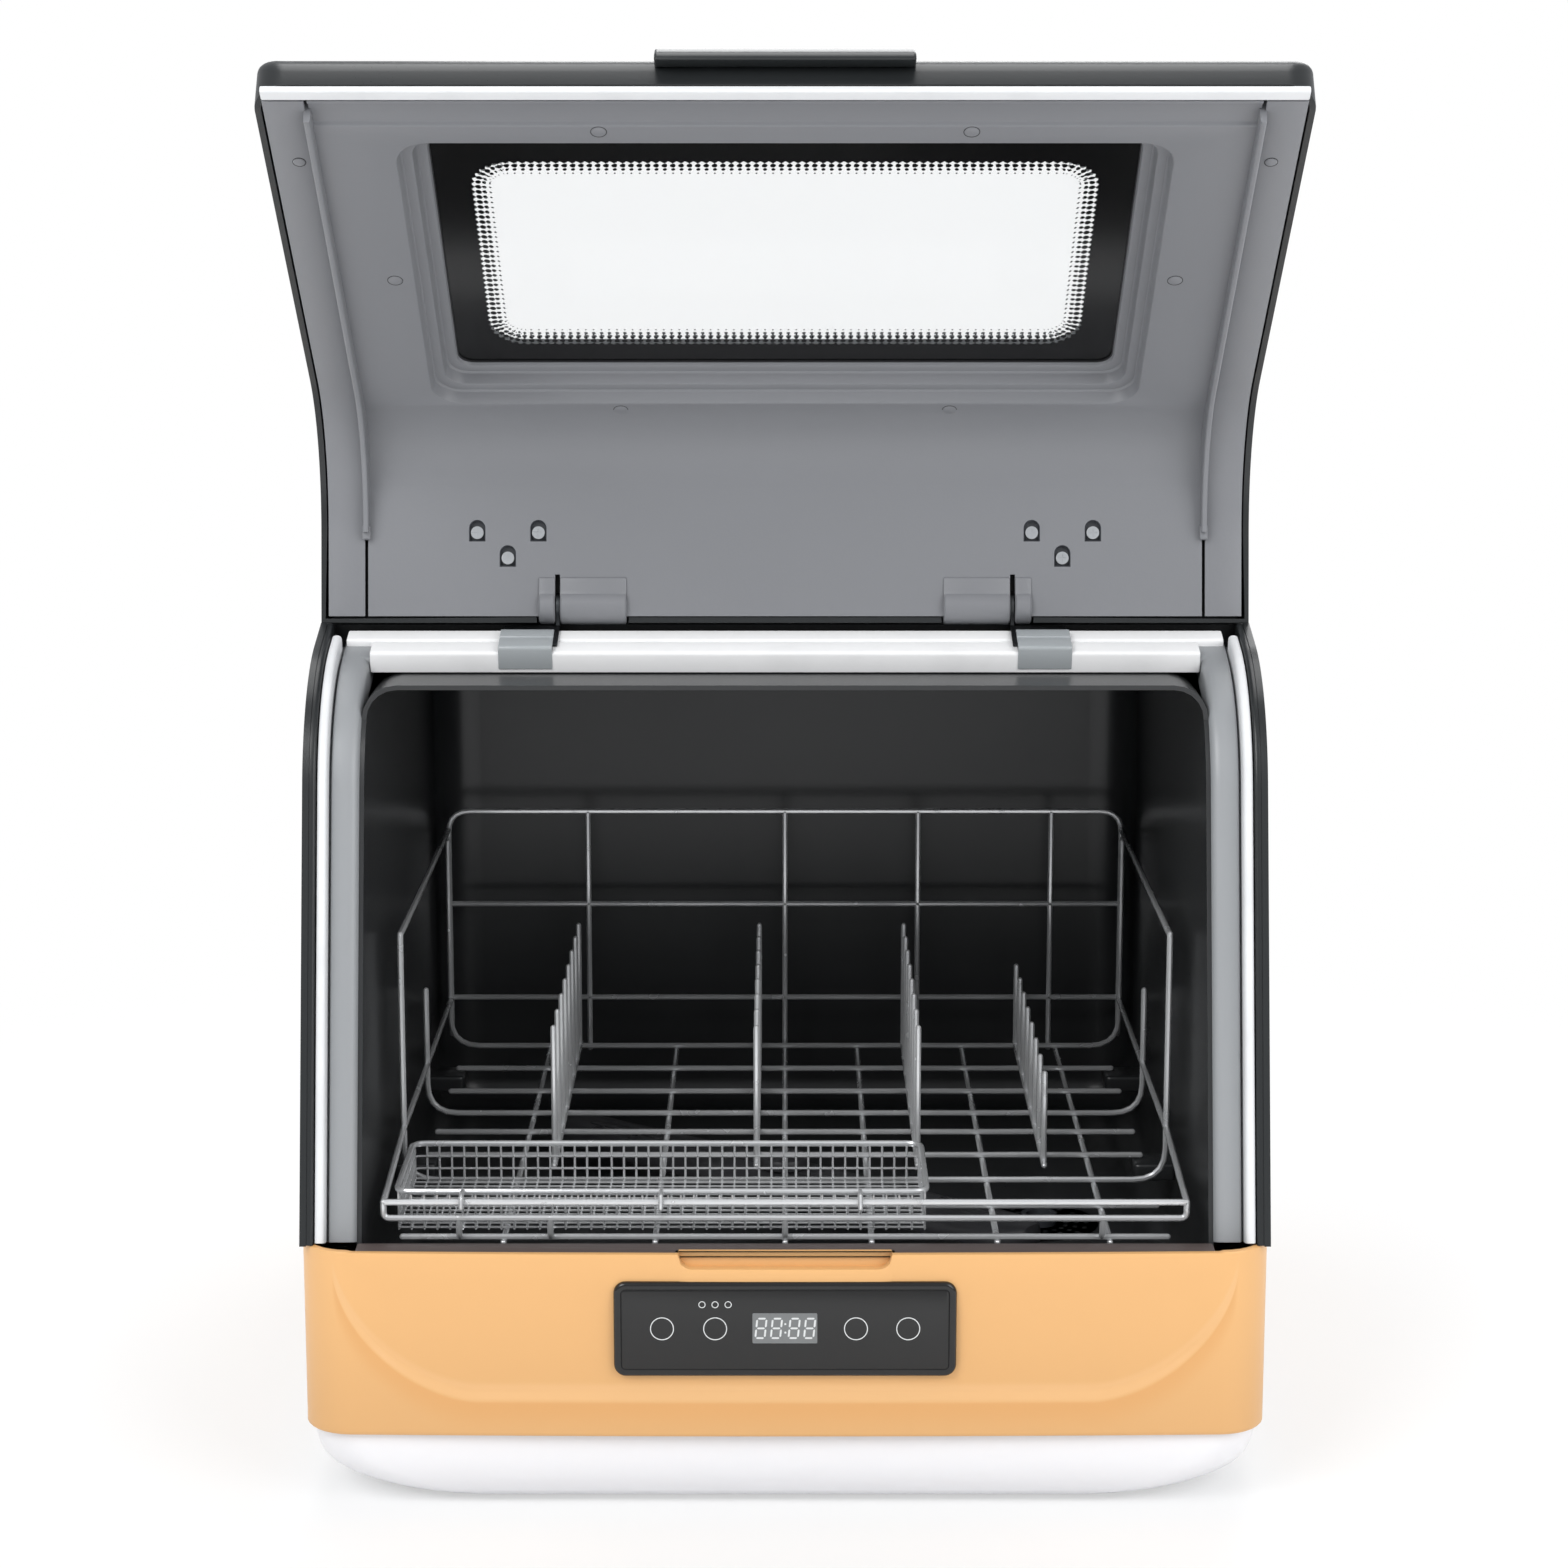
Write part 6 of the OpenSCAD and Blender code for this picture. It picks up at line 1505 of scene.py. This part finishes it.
def connections():
    """Sleeves over the stubs: the inlet's has a helical thread, r = 13.3 + 0.35 (1 + ridge), and the
    drain's has three barbs. Both are turned about axes that point back."""
    z = 59.7
    n, turns, long = 24, 4.5, 14.15
    a = np.arange(n) * 2 * math.pi / n
    run = np.linspace(1.1, long, 75)[:, None]
    ridge = np.clip(np.cos(2 * math.pi * run * turns / long - a[None, :]) * 1.4, -1, 1)
    grow = smooth((run - 1) / 1.5) * smooth((long - run) / 1.2)
    radius = 13.3 + 0.35 * (1 + ridge) * grow
    outer = np.stack([-150 + radius * np.cos(a), np.broadcast_to(BACK_Y - 0.2 + run, radius.shape),
                      z + radius * np.sin(a)], -1)
    bore = [np.stack([-150 + r * np.cos(a), np.full(n, BACK_Y + y), z + r * np.sin(a)], -1)[None] for r, y in
            ((12.2, 14.2), (9.3, 14.15), (9.0, 13.4), (9.0, 8.0))]
    stub = Skin().grid(np.concatenate([outer] + bore))
    stub.piece("inlet_stub", "base", "part_light")
    profile = [(9.1, 1.1)]
    for i in range(3):
        profile += [(10.1, 1.8 + i * 6), (9.1, 7.2 + i * 6)]
    profile += [(9.1, 19.6), (8.6, 20.15), (6.8, 20.15), (6.4, 19.6), (6.4, 12)]
    spigot = Skin().grid(along_axis(profile, "y", (172.2, BACK_Y, z), 32))
    spigot.piece("drain_spigot_barbs", "base", "part_dark")


def machinery():
    """Finishes for the solid pieces that are shown as drawn: pumps, motors, boards, hoses, fittings."""
    dress("part_dark", "sump", "wash_pump_housing", "drain_pump_housing", "fan_housing", "fan_duct", "hoses",
          "lid_switch", "spray_riser", "drain_outlet", "filter_cover")
    dress("part_light", "wash_pump_impeller", "drain_pump_impeller", "fan_wheel", "inlet_valve",
          "filter_cup")
    dress("steel", "heater", "wash_pump_motor", "drain_pump_motor", "rear_cover_screws", "lid_screws",
          "hinge_pins")
    dress("board_green", "control_board", "power_board")
    dress("rubber_dark", "power_gland")
    dress("black_plastic", "rear_cover")
    dress("steel_dark", "lid_magnet")


def stage():
    """Pale floor and soft lamps. Towards the camera the floor fades to plain white away from the machine."""
    scene = bpy.context.scene
    scene.view_settings.view_transform = "Standard"
    world = bpy.data.worlds.new("Studio")
    scene.world = world
    world.use_nodes = True
    tree = world.node_tree
    tree.nodes.clear()
    out = tree.nodes.new("ShaderNodeOutputWorld")
    mix = tree.nodes.new("ShaderNodeMixShader")
    soft, plain = tree.nodes.new("ShaderNodeBackground"), tree.nodes.new("ShaderNodeBackground")
    soft.inputs[0].default_value = (0.95, 0.97, 1.0, 1)
    soft.inputs[1].default_value = 0.55
    plain.inputs[0].default_value = (1, 1, 1, 1)
    plain.inputs[1].default_value = 1.0
    path = tree.nodes.new("ShaderNodeLightPath")
    either = tree.nodes.new("ShaderNodeMath")
    either.operation = "MAXIMUM"
    tree.links.new(path.outputs["Is Camera Ray"], either.inputs[0])
    tree.links.new(path.outputs["Is Transmission Ray"], either.inputs[1])
    tree.links.new(either.outputs[0], mix.inputs[0])
    tree.links.new(soft.outputs[0], mix.inputs[1])
    tree.links.new(plain.outputs[0], mix.inputs[2])
    tree.links.new(mix.outputs[0], out.inputs[0])
    mesh = bpy.data.meshes.new("floor")
    reach = 9.0
    corners = np.array([(-reach, -reach, 0), (reach, -reach, 0), (reach, reach, 0), (-reach, reach, 0)])
    mesh.from_pydata(corners, [], [(0, 1, 2, 3)])
    floor = bpy.data.objects.new("floor", mesh)
    scene.collection.objects.link(floor)
    sheet = Sheet("floor_white")
    x, y, _ = sheet.split(sheet.place())
    away = sheet.maths("SQRT", x * x + y * y)
    fade = smooth_share(sheet, away, 0.3, 0.9)
    seen = Value(sheet, sheet.node("ShaderNodeLightPath", {}, {}).outputs["Is Camera Ray"])
    sheet.set(Base_Color=(0.9, 0.9, 0.9, 1), Roughness=0.9, Specular_IOR_Level=0.1)
    glow = sheet.node("ShaderNodeEmission", {}, {"Color": (1, 1, 1, 1), "Strength": 1.0})
    mixed = sheet.node("ShaderNodeMixShader", {}, {0: seen * (0.5 + fade * 0.5)})
    sheet.tree.links.new(sheet.shader.outputs[0], mixed.inputs[1])
    sheet.tree.links.new(glow.outputs[0], mixed.inputs[2])
    sheet.tree.links.new(mixed.outputs[0], sheet.out.inputs[0])
    mesh.materials.append(sheet.material)
    for name, place, aim, size, power in (
            ("key_lamp", (-1.5, -2.1, 2.3), (0, 0, 0.3), 1.6, 46),
            ("fill_lamp", (1.8, -1.9, 1.6), (0, 0, 0.3), 1.8, 30),
            ("top_lamp", (0, 0.4, 2.6), (0, 0, 0.3), 1.6, 26),
            ("back_lamp", (0.4, 2.4, 1.6), (0, 0, 0.35), 1.6, 22)):
        data = bpy.data.lights.new(name, "AREA")
        data.size = size
        data.energy = power
        lamp = bpy.data.objects.new(name, data)
        lamp.location = place
        turn = np.array(aim) - np.array(place)
        lamp.rotation_euler = (math.atan2(math.hypot(turn[0], turn[1]), -turn[2]), 0,
                               math.atan2(-turn[0], turn[1]))
        scene.collection.objects.link(lamp)
    view = bpy.data.cameras.new("camera")
    view.lens = 82.0
    view.sensor_width = 36
    camera = bpy.data.objects.new("camera", view)
    camera.location = (-0.0005, (-1547.3 - SHIFT) * MM, 0.6392)
    camera.rotation_euler = (math.radians(79), 0, 0)
    scene.collection.objects.link(camera)
    scene.camera = camera


def step(name, label, work, text):
    """An operator class that runs one builder and reports done; an error in the builder stops it."""
    def execute(self, context):
        work()
        return {"FINISHED"}
    return type("DISHWASHER_OT_" + name, (bpy.types.Operator,), {
        "bl_idname": "dishwasher." + name, "bl_label": label, "__doc__": text, "execute": execute})


STEPS = [
    step("finishes", "Finishes", make_finishes, "Make the finishes of all pieces"),
    step("base", "Base tray and feet", base_tray, "Build the base tray with its vent and feet"),
    step("lower", "Lower casing", lower_casing, "Build the lower casing with its lip and finger scoop"),
    step("trim", "Front trim", front_trim, "Build the dark strip behind the front edge"),
    step("upper", "Upper casing", upper_casing, "Build the hood, its rims and the hinge channel"),
    step("panel", "Control panel", control_panel, "Build the control panel with rings and display"),
    step("tub", "Tub", tub, "Build the tub and its ledges"),
    step("opening", "Opening frame and seals", opening_frame,
         "Build the frame round the mouth and its seals"),
    step("arm", "Spray arm", spray_arm, "Build the spray arm with its nozzles and hub"),
    step("lid", "Lid shell", lid_shell, "Build the lid's outer shell"),
    step("liner", "Lid liner", lid_liner, "Build the lid's liner, ribs and hinge barrels"),
    step("window", "Window, seal and handle", lid_window,
         "Build the glass, its gasket, the seal and the handle"),
    step("hinges", "Hinges", hinges, "Build the hinge arms, clips and springs"),
    step("rack", "Dish rack", dish_rack, "Build the dish rack's wires"),
    step("basket", "Cutlery basket", cutlery_basket, "Build the cutlery basket"),
    step("connections", "Connections", connections, "Build the inlet thread and the drain barbs"),
    step("machinery", "Machinery", machinery, "Give the inner machinery its finishes"),
    step("stage", "Stage", stage, "Set the floor, lamps and camera"),
]


class DISHWASHER_PT_panel(bpy.types.Panel):
    """Lists the sizes, the colours and the steps in order."""
    bl_idname = "DISHWASHER_PT_panel"
    bl_label = "Countertop dishwasher"
    bl_space_type = "VIEW_3D"
    bl_region_type = "UI"
    bl_category = "Dishwasher"

    def draw(self, context):
        for group in (context.scene.dishwasher_sizes, context.scene.dishwasher_colours):
            box = self.layout.box()
            for key in group.bl_rna.properties.keys():
                if key not in ("name", "rna_type"):
                    box.prop(group, key)
        for operator in STEPS:
            self.layout.operator(operator.bl_idname)


CLASSES = [DishwasherColours, DishwasherSizes] + STEPS + [DISHWASHER_PT_panel]


def register():
    """Adds the classes and the two groups of settings to the scene."""
    for item in CLASSES:
        bpy.utils.register_class(item)
    bpy.types.Scene.dishwasher_colours = bpy.props.PointerProperty(type=DishwasherColours)
    bpy.types.Scene.dishwasher_sizes = bpy.props.PointerProperty(type=DishwasherSizes)


def unregister():
    """Takes them away again."""
    del bpy.types.Scene.dishwasher_sizes
    del bpy.types.Scene.dishwasher_colours
    for item in reversed(CLASSES):
        bpy.utils.unregister_class(item)


def main():
    """Builds every piece in order and writes the two boxes to compare."""
    register()
    for operator in STEPS:
        getattr(bpy.ops.dishwasher, operator.bl_idname.split(".")[1])()


if __name__ == "__main__":
    main()
